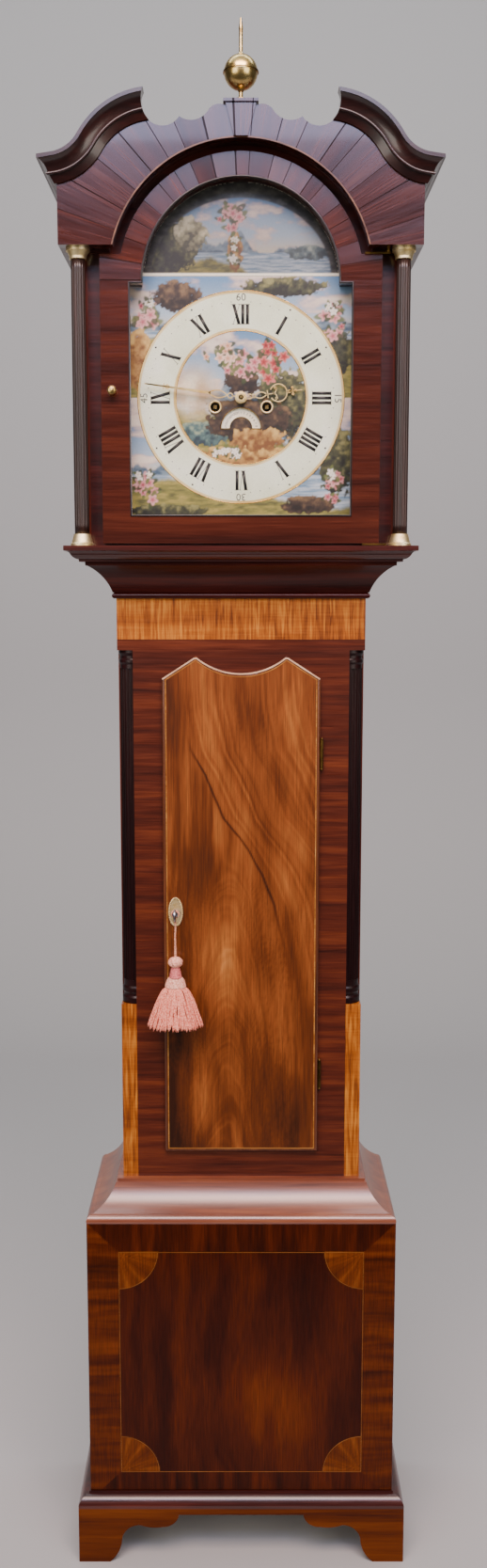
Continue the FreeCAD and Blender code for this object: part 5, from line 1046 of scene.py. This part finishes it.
door_wood = veneer("figured_mahogany_leaf", 50 * MM, 1.5 * MM, 0.4, 0.4)
columns = round(2 * (DOOR_HALF - EDGE) / LEAF_PITCH)
x = np.linspace(EDGE - DOOR_HALF, DOOR_HALF - EDGE, columns)
share = np.linspace(0, 1, round(DOOR_HEIGHT / LEAF_PITCH))[:, None]
low = DOOR_LOW[2] + EDGE
z = low + share * (door_top(x) - EDGE - low)
x = np.broadcast_to(x, z.shape)
leaf = (paint_door, "trunk_door", "figured_mahogany", door_wood, clear_of_key)
sheet("trunk_door_leaf", x, z, DOOR_LOW[1], LEAF_LIFT, *leaf)
print("door leaf", columns, "by", len(share), "points")

# %% [markdown]
# A line of boxwood, called stringing, is let into the wood round the leaf. It is a ribbon swept along
# the leaf's outline, and stands a hair proud so that it is never level with the veneer. A pale strip
# along the door's top edge is a painted highlight, where the lip catches the light.

# %% Stringing
boxwood = wood("boxwood_line", "#7a4718", "#a06a2c", "#c4904c", shine=0.3, coat=0.5)
# Painted highlight: a pale cream wood for the strip along the door's top edge.
painted_highlight_wood = wood("painted_highlight_edge_wood", "#b98a68", "#dcb898", "#f2dcc4", shine=0.2, coat=1.0)


def stringing(name, paths, width, front, lift, body, slot, closed=True, material=boxwood):
    """Ribbons of a light wood let into a flat front, each to the left of its path."""
    section = ((0.0, front), (0.0, front - lift), (width, front - lift), (width, front))
    points, faces = merged([along_path(path, section, closed) for path in paths])
    return piece(name, points, faces, body, slot, material, smooth=False)


DOOR_LINE = 1.4
LINE_LIFT = 0.5
HIGHLIGHT_WIDTH = 2.0
HIGHLIGHT_INSET = 0.5
HIGHLIGHT_LIFT = 0.4

top_x = np.concatenate([[DOOR_HALF - EDGE], np.linspace(DOOR_PEAK, -DOOR_PEAK, 33), [EDGE - DOOR_HALF]])
top = join(top_x, door_top(top_x) - EDGE)
outline = np.concatenate([[[EDGE - DOOR_HALF, low], [DOOR_HALF - EDGE, low]], top])
stringing("trunk_door_stringing", [outline], DOOR_LINE, DOOR_LOW[1], LINE_LIFT, "trunk_door", "maple")
# Painted highlight: a pale strip just inside the door's top edge, standing in for light caught on the lip.
highlight_x = top_x * (DOOR_HALF - HIGHLIGHT_INSET) / (DOOR_HALF - EDGE)
rim = join(highlight_x, door_top(highlight_x) - HIGHLIGHT_INSET)
stringing("trunk_door_painted_highlight", [rim], HIGHLIGHT_WIDTH, DOOR_LOW[1], HIGHLIGHT_LIFT, "trunk_door", "maple", False, painted_highlight_wood)
print("stringing corners:", len(outline))

# %% [markdown]
# ## The base panel
# The front of the base is one picture in wood: a dark flame veneer in the middle, a quarter fan in each
# corner, and a band all round it whose grain runs across, mitred where the bands meet. Knowing how far
# a point is from each edge says which leaf it belongs to, and each leaf has its own direction of grain.

# %% Painted base
BASE_LOW, BASE_HIGH = node_box("base_front_panel")
BASE_HALF = BASE_HIGH[0]
BASE_FOOT = node_box("plinth_moulding")[1][2]
PANEL_HALF = 188.0
PANEL_LOW = 141.0
PANEL_HIGH = 506.0
FAN_R = 60.0
BASE_LINE = 0.8
BASE_PITCH = 2.2


def paint_base(x, z):
    """Flame in the panel with a painted sheen in its middle, rays in the corner fans, and streaks across the
    bands.
    """
    side = np.abs(x) - PANEL_HALF
    end = np.maximum(z - PANEL_HIGH, PANEL_LOW - z)
    wander = 26 * (cloudy(x / 70, z / 70, 301, 3) - 0.5)
    flame = cloudy((x + wander) / 30, z / 230, 303, 5)
    # Painted sheen: a paler patch in the middle of the panel, where the light falls on the polish.
    painted_sheen = 0.2 * np.exp(-(((x - 12) / 85) ** 2) - ((z - 255) / 70) ** 2)
    tone = 0.45 + 0.6 * (flame - 0.5) + painted_sheen
    picture = tint(tone, (0.1, "#170401"), (0.4, "#300c02"), (0.6, "#4a1a04"), (0.85, "#6a300a"))
    ray = cloudy(np.arctan2(end, side) * 9, np.hypot(side, end) / 60, 305)
    fan = tint(ray, (0.25, "#4c1f06"), (0.55, "#632e08"), (0.8, "#753d10"))
    picture = over(picture, fan, smoothstep(0.6, -0.6, np.hypot(side, end) - FAN_R))
    across = cloudy(x / 130, (z + wander / 3) / 9, 307, 5)
    band = tint(across, (0.15, "#2e0d01"), (0.5, "#4b1c04"), (0.85, "#632c08"))
    picture = over(picture, band, smoothstep(-0.6, 0.6, side))
    upright = cloudy(x / 10, z / 120, 309, 5)
    rail = tint(upright, (0.15, "#210701"), (0.5, "#391102"), (0.85, "#501d05"))
    return over(picture, rail, smoothstep(-0.6, 0.6, np.minimum(end, 1.03 * end - side)) * (end > 0))


print("panel:", 2 * PANEL_HALF, "by", PANEL_HIGH - PANEL_LOW, "mm")

# %% Base front
dull_line = wood("darkened_line", "#5c3410", "#7a4a1a", "#94602a", coat=0.1, gleam=0.2)
base_wood = veneer("base_veneer", 40 * MM, 2.0 * MM, 0.06, 0.12)
x, z = grid((-BASE_HALF, BASE_HALF), (BASE_FOOT, BASE_HIGH[2]), BASE_PITCH)
x = np.clip(x, -BASE_HALF, BASE_HALF)
z = np.clip(z, BASE_FOOT, BASE_HIGH[2])
sheet("base_front_leaf", x, z, BASE_LOW[1], LEAF_LIFT, paint_base, "case", "figured_mahogany", base_wood)

inlay = {"front": BASE_LOW[1], "lift": LINE_LIFT, "body": "case", "slot": "maple", "material": dull_line}
panel_x = PANEL_HALF * np.array([-1, 1, 1, -1])
panel = join(panel_x, np.array([PANEL_LOW, PANEL_LOW, PANEL_HIGH, PANEL_HIGH]))
stringing("base_stringing", [panel], BASE_LINE, **inlay)
fans = [arc(corner, FAN_R, 90 * number, 90 * number + 90, 25) for number, corner in enumerate(panel)]
stringing("base_fan_stringing", fans, BASE_LINE, closed=False, **inlay)
print("base front from", BASE_FOOT, "to", BASE_HIGH[2], "mm")

# %% [markdown]
# ## The silk tassel
# A tassel hangs from the key: a cord looped round the shank, then a whipped end, a knot, a bound neck,
# a collar and a skirt of cut yarns. The solids of the frame only mark its place, so all of it is made
# here. The cord follows a smooth spline that the route's points draw towards them, and its two plies are
# a section that turns as it goes down.

# %% Silk and tubes
def silk(name, dark, light):
    """Spun silk: soft colour between the threads and a pale sheen at grazing angles."""
    sheen = {"Sheen Weight": 0.06, "Sheen Roughness": 0.4, "Sheen Tint": colour("#ffdcd0")}
    return mottled(name, 2.2 * MM, ((0.32, dark), (0.62, light)), 0.62, **sheen)


def spline(name, route):
    """Points along a smooth NURBS curve that has the route as its control points, in millimetres."""
    curve = bpy.data.curves.new(name, "CURVE")
    curve.dimensions = "3D"
    line = curve.splines.new("NURBS")
    line.points.add(len(route) - 1)
    line.points.foreach_set("co", np.concatenate([route, np.ones((len(route), 1))], axis=1).ravel())
    line.order_u = 3
    line.use_endpoint_u = True
    line.resolution_u = 10
    return curve_mesh(curve)[0]


def triangles(squares):
    """Four-cornered faces, each cut into two triangles."""
    return np.concatenate([squares[:, [0, 1, 2]], squares[:, [0, 2, 3]]])


def tube(rings):
    """A closed skin over a stack of rings, lowest first, with a fan of triangles at each end."""
    rows, columns = rings.shape[:2]
    squares = quads(rows, columns, wrap_columns=True)
    around = np.arange(columns)
    after = (around + 1) % columns
    last = (rows - 1) * columns
    bottom = join(rows * columns, after, around)
    top = join(rows * columns + 1, last + around, last + after)
    points = np.concatenate([rings.reshape(-1, 3), rings[:1].mean(axis=1), rings[-1:].mean(axis=1)])
    return points, np.concatenate([triangles(squares), bottom, top])


def level_rings(centre, radius, turn):
    """Level rings round a line of centres: a radius for every level and turn."""
    x = centre[:, None, 0] + radius * np.cos(turn)
    y = centre[:, None, 1] + radius * np.sin(turn)
    return join(x, y, centre[:, None, 2])


print("triangles on two rings of four points:", len(tube(np.zeros((2, 4, 3)))[1]))

# %% Cord
CORD_R = 1.6
LOOP_R = 5.0
PLY_TURN = math.tau / 9.0
cord_low, cord_high = node_box("tassel_cord")
CORD_X = (cord_low[0] + cord_high[0]) / 2
CORD_Y = (cord_low[1] + cord_high[1]) / 2
CORD_EXIT = KEY[2] - LOOP_R - CORD_R
CORD_END = node_box("tassel")[1][2]

cord_silk = silk("cord_silk", "#b96c50", "#e8ac90")
route = np.array([(CORD_X, CORD_Y, CORD_EXIT), (CORD_X + 0.7, CORD_Y, CORD_EXIT - 12),
                  (CORD_X - 0.6, CORD_Y, CORD_EXIT - 28), (CORD_X, CORD_Y, CORD_END)])
path = spline("tassel_route", route)
turn = circle(16)
upwards = path[::-1]
plies = CORD_R * (0.88 + 0.12 * np.cos(2 * (turn - PLY_TURN * upwards[:, 2:])))
cord = piece("tassel_silk_cord", *tube(level_rings(upwards, plies, turn)), "tassel", "silk", cord_silk)

points, faces = torus(LOOP_R, CORD_R, (CORD_X, KEY[2]), 0.0, 48, 12)
points[:, 1] += CORD_Y - DIAL_FRONT
loop = piece("tassel_loop", points, faces, "tassel", "silk", cord_silk)

# %% [markdown]
# The head of the tassel is turned like a baluster, and thread gives each part its surface: tight turns
# on the whipping, a plaited knot and collar, fine upright threads on the neck. The skirt is a crowd of
# separate yarns, each a bent tube with a rounded end, set at uneven depths so that no gap shows. Their
# random lengths and depths are seeded.

# %% Head of the tassel
WHIPPED = CORD_END - 17.0
KNOT_LOW = WHIPPED - 17.0
NECK_LOW = KNOT_LOW - 15.0
COLLAR_LOW = NECK_LOW - 17.0
KNOT_R = 10.5
COLLAR_HALF = 15.5

pale_silk = silk("pale_pink_silk", "#d67c66", "#fcc2aa")
rose_silk = silk("rose_silk", "#b0484e", "#e2817c")


def turned(name, low, high, radius, material, count, swing, twist, flat=1.0):
    """A turned part of the head: radius(share) from low to high, with ridges that twist round it."""
    share = np.linspace(0, 1, 28)[:, None]
    turn = circle(60)
    ridged = radius(share) + swing * np.cos(count * turn + twist * share) * np.sin(math.pi * share)
    x = CORD_X + ridged * np.cos(turn)
    y = CORD_Y + ridged * np.sin(turn) * flat
    rings = join(x, y, low + (high - low) * share)
    return piece(name, *tube(rings), "tassel", "silk", material)


whipping = turned("tassel_whipping", WHIPPED - 1, CORD_END,
                  lambda s: 1.75 + 0.25 * np.cos(s * 60), cord_silk, 1, 0.0, 0)
knot = turned("tassel_knot", KNOT_LOW, WHIPPED,
              lambda s: KNOT_R * np.sqrt(1.02 - (2 * s - 1) ** 2), pale_silk, 9, 0.9, 8)
neck = turned("tassel_neck", NECK_LOW, KNOT_LOW + 1, lambda s: 9.6 - 3.4 * s, rose_silk, 20, 0.25, 0)
turned("tassel_collar", COLLAR_LOW, NECK_LOW + 1,
       lambda s: COLLAR_HALF * (1.08 - 0.36 * s - 0.18 * (2 * s - 1) ** 6), pale_silk, 13, 0.9, 7, 0.72)
print("head of the tassel:", round(CORD_END - COLLAR_LOW, 1), "mm long")

# %% Skirt
HEM = node_box("tassel")[0][2] - 5.0
HEM_HALF = 43.0
HEM_FORWARD = 9.5
FLATNESS = 0.58
YARNS = 170
YARN_R = 2.0
YARN_TIP = 0.93
GOLDEN_TURN = 0.381966

skirt_silk = silk("skirt_silk", "#c4553f", "#f8a48c")
pick = np.random.default_rng(17)
angle = np.arange(YARNS) * math.tau * GOLDEN_TURN
layer = 0.62 + 0.38 * np.sqrt(pick.random(YARNS))
length = 1 - 0.07 * pick.random(YARNS)
phase = pick.random(YARNS) * math.tau
share = np.linspace(1, 0, 15)
tip = np.maximum(share - YARN_TIP, 0) / (1 - YARN_TIP)
end = np.sqrt(np.clip(1 - tip**2, 0.03, 1))
thick = (YARN_R * (0.62 + 0.38 * share) * end)[:, None]
turn = circle(7)
yarns = []
for number in range(YARNS):
    drop = share * length[number]
    half = layer[number] * (COLLAR_HALF - 3 + (HEM_HALF - COLLAR_HALF + 2) * drop**0.58)
    sway = 0.9 * np.sin(5 * drop + phase[number]) * drop
    bend = angle[number] + 0.06 * np.sin(4 * drop + phase[number])
    centre_x = CORD_X + half * np.cos(bend) + sway
    centre_y = CORD_Y - HEM_FORWARD * drop + FLATNESS * half * np.sin(bend)
    centre_z = COLLAR_LOW + 3 - (COLLAR_LOW + 3 - HEM) * drop
    centres = join(centre_x, centre_y, centre_z)
    yarns.append(tube(level_rings(centres, thick, turn)))
skirt = piece("tassel_skirt", *merged(yarns), "tassel", "silk", skirt_silk)
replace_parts(skirt, "tassel")
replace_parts(cord, "tassel_cord")
print("yarns:", YARNS)

# %% [markdown]
# ## Gilt hands
# The hands are sawn from thin brass, filed and gilt. A fretted hand is mostly outline: long eyes, rings
# and a crescent, joined end to end. Each of them is a narrow strip of brass swept along its own small
# path, drawn as if the hand pointed straight up and then turned to the time that the frame shows.

# %% Parts of a hand
STRIP = 1.5


def eye(foot, head_end, half, count=28):
    """A pointed oval between two heights: its width is a sine, squared off a little at the middle."""
    share = np.linspace(0, 1, count)
    side = half * np.sin(math.pi * share) ** 0.8
    rise = foot + (head_end - foot) * share
    return np.concatenate([join(side, rise), join(-side, rise)[-2:0:-1]])


def disc(centre, radius, y_range, count=28):
    """A small round plate, made of rings that shrink to its front."""
    turn = -circle(count)
    reach = radius * np.array([1.0, 1.0, 0.7, 0.1])[:, None]
    depth = np.array([y_range[1], y_range[0] + 0.25, y_range[0], y_range[0]])[:, None]
    x = centre[0] + reach * np.cos(turn)
    z = centre[1] + reach * np.sin(turn)
    return tube(join(x, depth, z))


def strips(paths, y_range, width=STRIP, closed=True):
    """Strips of brass along some paths, as triangles."""
    back, front = y_range[1], y_range[0]
    section = ((-width / 2, back), (-width / 2, front), (width / 2, front), (width / 2, back))
    parts = [along_path(np.array(path), section, closed) for path in paths]
    return [(points, triangles(faces)) for points, faces in parts]


def hand(name, parts, turn):
    """Turns a hand that points up, about the dial's centre, to a clockwise angle, and hides the plain one."""
    points, faces = merged(parts)
    points = on_dial(points[:, 0], points[:, 2], turn, points[:, 1])
    fretted = piece(name + "_fretted", points, faces, name, "gilt_brass", hand_gilt, smooth=False)
    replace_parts(fretted, name)


print("corners in an eye:", len(eye(0, 1, 1)))

# %% Hour hand
HOUR_TURN = math.radians(82.8)
BAR = 1.3
KNOB_R = 1.9
COLLET_R = 8.5

hand_gilt = metal("bright_gilt", "#cfa95a", "#f3dd9e", 0.42)
y = node_box("hour_hand")[:, 1]
eyes = [eye(19, 37, 4.2), eye(67, 72, 1.6)]
rings = [arc((0, 12.5), 3.2, -60, 240, 24), arc((0, 17.5), 2.2, 0, 345, 24)]
crescent = arc((0, 54), 12.2, -62, 242, 40)
fork = [arc((5.2, 46), 5.2, 180, 30, 16), arc((-5.2, 46), 5.2, 0, 150, 16)]
bars = [[(0, 36), (0, 50)], [(-5.5, 38.5), (5.5, 38.5)], [(0, 66), (0, 88)], [(-4.5, 74.5), (4.5, 74.5)]]
knobs = ((7.0, 50.5), (-7.0, 50.5), (4.5, 74.5), (-4.5, 74.5), (0, 78.5), (0, 70.5))
parts = strips(eyes, y) + strips(rings + [crescent] + fork, y, closed=False)
parts += strips(bars, y, BAR, closed=False) + [disc((0, 0), COLLET_R, y)]
parts += [disc(place, KNOB_R, y, 14) for place in knobs]
hand("hour_hand", parts, HOUR_TURN)
print("hour hand of", len(parts), "parts")

# %% Minute hand
MINUTE_TURN = math.radians(277.8)
BLADE_EDGE = 0.9
BLADE_RIB = 1.8
CROSSBAR = 1.4

y = node_box("minute_hand")[:, 1]
blade = np.array([(-0.3, 138), (-1.6, 44), (1.6, 44), (0.3, 138)])
shapes = [eye(20, 46, 5.2), arc((0, 15.5), 3.4, 0, 345, 24), arc((0, 106), 2.6, 0, 345, 20)]
parts = strips(shapes, y) + strips([blade], y, BLADE_EDGE) + [disc((0, 0), COLLET_R - 0.5, y)]
parts += strips([[(0, 8), (0, 13)], [(-4, 111), (4, 111)]], y, CROSSBAR, closed=False)
parts += strips([[(0, 44), (0, 137)]], y, BLADE_RIB, closed=False)
hand("minute_hand", parts, MINUTE_TURN)
print("minute hand of", len(parts), "parts")

# %% [markdown]
# ## Columns, beads and edges
# The hood's columns are reeded: their outline is a ring of small bumps, and they taper a little, more so
# towards the top. The other pieces are small light or dark edges that the eye expects: a black bead
# round the sight of the hood door, partly painted shade since its blackness also gives the shadow line
# round the dial, a pale edge inside the pediment's arch, a seam on the finial and a beaded edge on the key
# plate.

# %% Columns
REEDS = 14
GROOVE = 0.11
TAPER = 0.05
column_low, column_high = node_box("hood_columns")
COLUMN_R = (column_high[1] - column_low[1]) / 2
COLUMN_X = column_high[0] - COLUMN_R
COLUMN_Y = (column_low[1] + column_high[1]) / 2

share = np.linspace(0, 1, 30)[:, None]
turn = circle(REEDS * 8)
groove = GROOVE * (1 - np.abs(np.sin(REEDS / 2 * turn)) ** 0.7)
plain_end = smoothstep(0, 0.03, share) * smoothstep(1, 0.97, share)
radius = COLUMN_R * (1 - TAPER * share**2) * (1 - groove * plain_end)
columns = []
for side in (-COLUMN_X, COLUMN_X):
    level = column_low[2] + (column_high[2] - column_low[2]) * share[:, 0]
    centre = join(side, COLUMN_Y, level)
    columns.append(tube(level_rings(centre, radius, turn)))
column_wood = wood("stained_column", "#120907", "#22110d", "#3a1f17", lay="upright", shine=0.4, coat=0.2)
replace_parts(piece("reeded_columns", *merged(columns), "hood", "ebonised", column_wood), "hood_columns")
print("reeds on each column:", REEDS)

# %% Bead and edge of the hood
SIGHT_HALF = 155.0
SIGHT_LOW = 1616.0
SIGHT_HIGH = 1933.0
SIGHT_R = 137.0
sight_foot = math.degrees(math.asin((SIGHT_HIGH - ARCH_Z) / SIGHT_R))
corner = SIGHT_R * math.cos(math.radians(sight_foot))
lower = [(-corner, SIGHT_HIGH), (-SIGHT_HALF, SIGHT_HIGH), (-SIGHT_HALF, SIGHT_LOW), (SIGHT_HALF, SIGHT_LOW)]
lower += [(SIGHT_HALF, SIGHT_HIGH)]
sight = np.concatenate([lower, arc((0, ARCH_Z), SIGHT_R, sight_foot, 180 - sight_foot, 49)[:-1]])
front = node_box("hood_door_frame")[0][1]
bead = ((-2.6, front), (-2.2, front - 0.9), (-1.2, front - 1.3), (-0.2, front - 0.9), (0.0, front))
# A real bead. It is made black so that it also gives the painted shadow line round the dial.
black = wood("black_bead", "#080505", "#120a09", "#1f1210", shine=0.3, coat=0.5)
piece("sight_bead", *along_path(sight, bead), "hood_door", "ebonised", black)

FASCIA_R = 181.5
fascia_front = node_box("pediment_fascia")[0][1]
foot = math.degrees(math.asin((node_box("pediment_fascia")[0][2] - ARCH_Z) / FASCIA_R))
edge = arc((0, ARCH_Z), FASCIA_R, foot, 180 - foot, 61)
pale_edge = wood("pale_arch_edge", "#3c2012", "#5e3a22", "#805638", shine=0.35, coat=0.4)
section = ((-2.0, fascia_front), (-2.0, fascia_front - 0.5), (0.0, fascia_front - 0.5), (0.0, fascia_front))
points, faces = along_path(edge, section, False)
piece("fascia_arch_edge", points, faces, "hood", "veneered_mahogany", pale_edge, smooth=False)
print("corners of the sight:", len(sight))

# %% Brass edges
BEADS = 44
BEAD_R = 1.2
BEAD_INSET = 1.4
BALL_RISE = 37.0
SEAM_HALF = 0.7
SEAM_DEPTH = 2.5
SEAM_PROUD = 0.15

plate_low, plate_high = node_box("escutcheon")
plate_x, _, plate_z = (plate_low + plate_high) / 2
half_x, _, half_z = (plate_high - plate_low) / 2
turn = circle(BEADS)
spot_x = plate_x + (half_x - BEAD_INSET) * np.cos(turn)
spot_z = plate_z + (half_z - BEAD_INSET) * np.sin(turn)
depth = (plate_low[1] - BEAD_R / 2, plate_low[1])
beads = [disc(spot, BEAD_R, depth, 10) for spot in zip(spot_x, spot_z)]
piece("escutcheon_beads", *merged(beads), "trunk_door", "gilt_brass", pale_brass)

ball_low, ball_high = node_box("ball_finial")
seam_r = ball_high[0] + SEAM_PROUD
seam_y = (ball_low[1] + ball_high[1]) / 2
level = ball_low[2] + BALL_RISE + SEAM_HALF * np.array([-1, -1, 1, 1])[:, None]
reach = seam_r - SEAM_DEPTH * np.array([1, 0, 0, 1])[:, None]
turn = circle(64)
seam = join(reach * np.cos(turn), seam_y + reach * np.sin(turn), level)
seam_brass = metal("tarnished_seam", "#3a2b14", "#5a4422", 0.4)
piece("finial_seam", seam, quads(4, 64, True, True), "hood", "brass", seam_brass, smooth=False)
print("beads on the key plate:", BEADS)

# %% [markdown]
# ## The gut lines
# Each weight hangs in a loop of gut: down from its barrel, round the pulley and up to a knot on the
# seatboard. As the clock is wound the loop shortens.

# %% Lines
LINE_R = 1.1
LINE_KNOT_R = 2.6
LINE_KNOT = 4.4
LINE_STEPS = 60
seat_low, seat_high = node_box("seatboard")


def gut_line(name, node):
    """A tube along a U: a straight strand on each side of the pulley and half a circle below it."""
    low, high = node_box(node)
    fall = low[0] + LINE_R
    rise = high[0] - LINE_KNOT_R
    pulley_r = (rise - fall) / 2
    pulley = low[2] + pulley_r + LINE_R
    down = join(fall, np.linspace(DIAL_Z + WINDING[1], pulley, LINE_STEPS))
    under = arc(((fall + rise) / 2, pulley), pulley_r, 180, 360, 25)
    knot = seat_high[2] + LINE_KNOT * np.array([0.1, 0.9])
    heights = np.concatenate([np.linspace(pulley, seat_high[2], LINE_STEPS), knot])
    up = join(rise, heights)
    path = np.concatenate([down[:-1], under, up[1:]])
    along = np.gradient(path, axis=0)
    along = along / np.linalg.norm(along, axis=1, keepdims=True)
    side = join(along[:, 1], -along[:, 0])
    knotted = (path[:, 0] > rise - 0.1) & (path[:, 1] > seat_high[2])
    radius = np.where(knotted, LINE_KNOT_R, LINE_R)[:, None]
    turn = circle(10)
    flat = path[:, None] + (radius * np.cos(turn))[..., None] * side[:, None]
    middle_y = (low[1] + high[1]) / 2
    rings = join(flat[..., 0], middle_y + radius * np.sin(turn), flat[..., 1])
    line = piece(name, *tube(rings), None, "gut", gut)
    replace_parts(line, node)
    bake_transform(line)


gut_line("going_gut_line", "going_line")
gut_line("strike_gut_line", "strike_line")
print("gut lines hang from the seatboard at", round(seat_high[2], 1), "mm")

# %% [markdown]
# ## Light, floor and background
# A cut-out photograph has an even pale grey behind it. A floor that sweeps up into a wall gives that
# without a corner. Its rear face is clear, so that the clock can be looked at from behind. One large
# window of cool light hangs high in front: it is what the polish on the hood reflects. A warmer one
# lights the ledge at the waist, two broad ones at the sides fill the shadows, and the last two keep the
# floor and the wall even.

# %% Floor and wall
GREY = "#aeaeae"
SWEEP_HALF = 6.0
SWEEP_BACK = 2.2
SWEEP_RADIUS = 1.2
SWEEP_TOP = 6.0
FLOOR_FRONT = -1.0

backdrop_paint, add = new_material("pale_backdrop")
behind = add("NewGeometry")["Backfacing"]
matt_links = {"Base Color": colour(GREY), "Roughness": 0.9, "Specular IOR Level": 0.1}
matt = add("BsdfPrincipled", matt_links)
clear = add("BsdfTransparent")
either = add("MixShader", {0: behind, 1: matt[0], 2: clear[0]})
add("OutputMaterial", {0: either[0]})
turn = np.linspace(0, math.pi / 2, 24)
wall_y = SWEEP_BACK + SWEEP_RADIUS
line_y = np.concatenate([[FLOOR_FRONT], SWEEP_BACK + SWEEP_RADIUS * np.sin(turn), [wall_y]])
line_z = np.concatenate([[0.0], SWEEP_RADIUS * (1 - np.cos(turn)), [SWEEP_TOP]])
line_x = np.array([-SWEEP_HALF, SWEEP_HALF])
sweep = join(line_x, line_y[:, None], line_z[:, None])
mesh = bpy.data.meshes.new("studio_sweep")
mesh.from_pydata(sweep.reshape(-1, 3).tolist(), [], quads(len(line_y), 2).tolist())
mesh.materials.append(backdrop_paint)
mesh.polygons.foreach_set("use_smooth", np.full(len(mesh.polygons), True))
backdrop = bpy.data.objects.new("studio_sweep", mesh)
bpy.context.scene.collection.objects.link(backdrop)
print("rows from floor to wall:", len(line_y))


# %% Lights
def softbox(name, place, target, size, power, tone):
    """A rectangular light that faces a point: places and size in metres, power in watts."""
    light = bpy.data.lights.new(name, "AREA")
    light.shape = "RECTANGLE"
    light.size, light.size_y = size
    light.energy = power
    light.color = colour(tone)[:3]
    lamp = bpy.data.objects.new(name, light)
    lamp.location = place
    lamp.rotation_euler = (Vector(target) - Vector(place)).to_track_quat("-Z", "Y").to_euler()
    bpy.context.scene.collection.objects.link(lamp)


softbox("high_window", (0.1, -2.7, 3.42), (0, 0, 1.9), (3.0, 0.9), 58, "#c9d2ff")
softbox("skylight", (0, -2.0, 3.7), (0, -0.1, 0.6), (2.6, 1.2), 160, "#ffdccc")
softbox("left_fill", (-2.5, -3.1, 2.2), (0, 0, 1.8), (2.2, 2.4), 68, "#fff6ea")
softbox("right_fill", (2.5, -3.1, 2.2), (0, 0, 1.8), (2.2, 2.4), 65, "#fff6ea")
softbox("ceiling", (0, -0.2, 4.8), (0, 0.2, 0), (5.0, 4.0), 44, "#ecf6ff")
softbox("wall_wash", (0, 0.6, 4.6), (0, 3.4, 1.2), (5.0, 1.0), 96, "#f8fcff")

world = bpy.data.worlds.new("studio_air")
bpy.context.scene.world = world
world.use_nodes = True
air = world.node_tree.nodes["Background"].inputs
air[0].default_value = colour("#c9c9cc")
air[1].default_value = 0.12
print("lights:", len(bpy.data.lights))
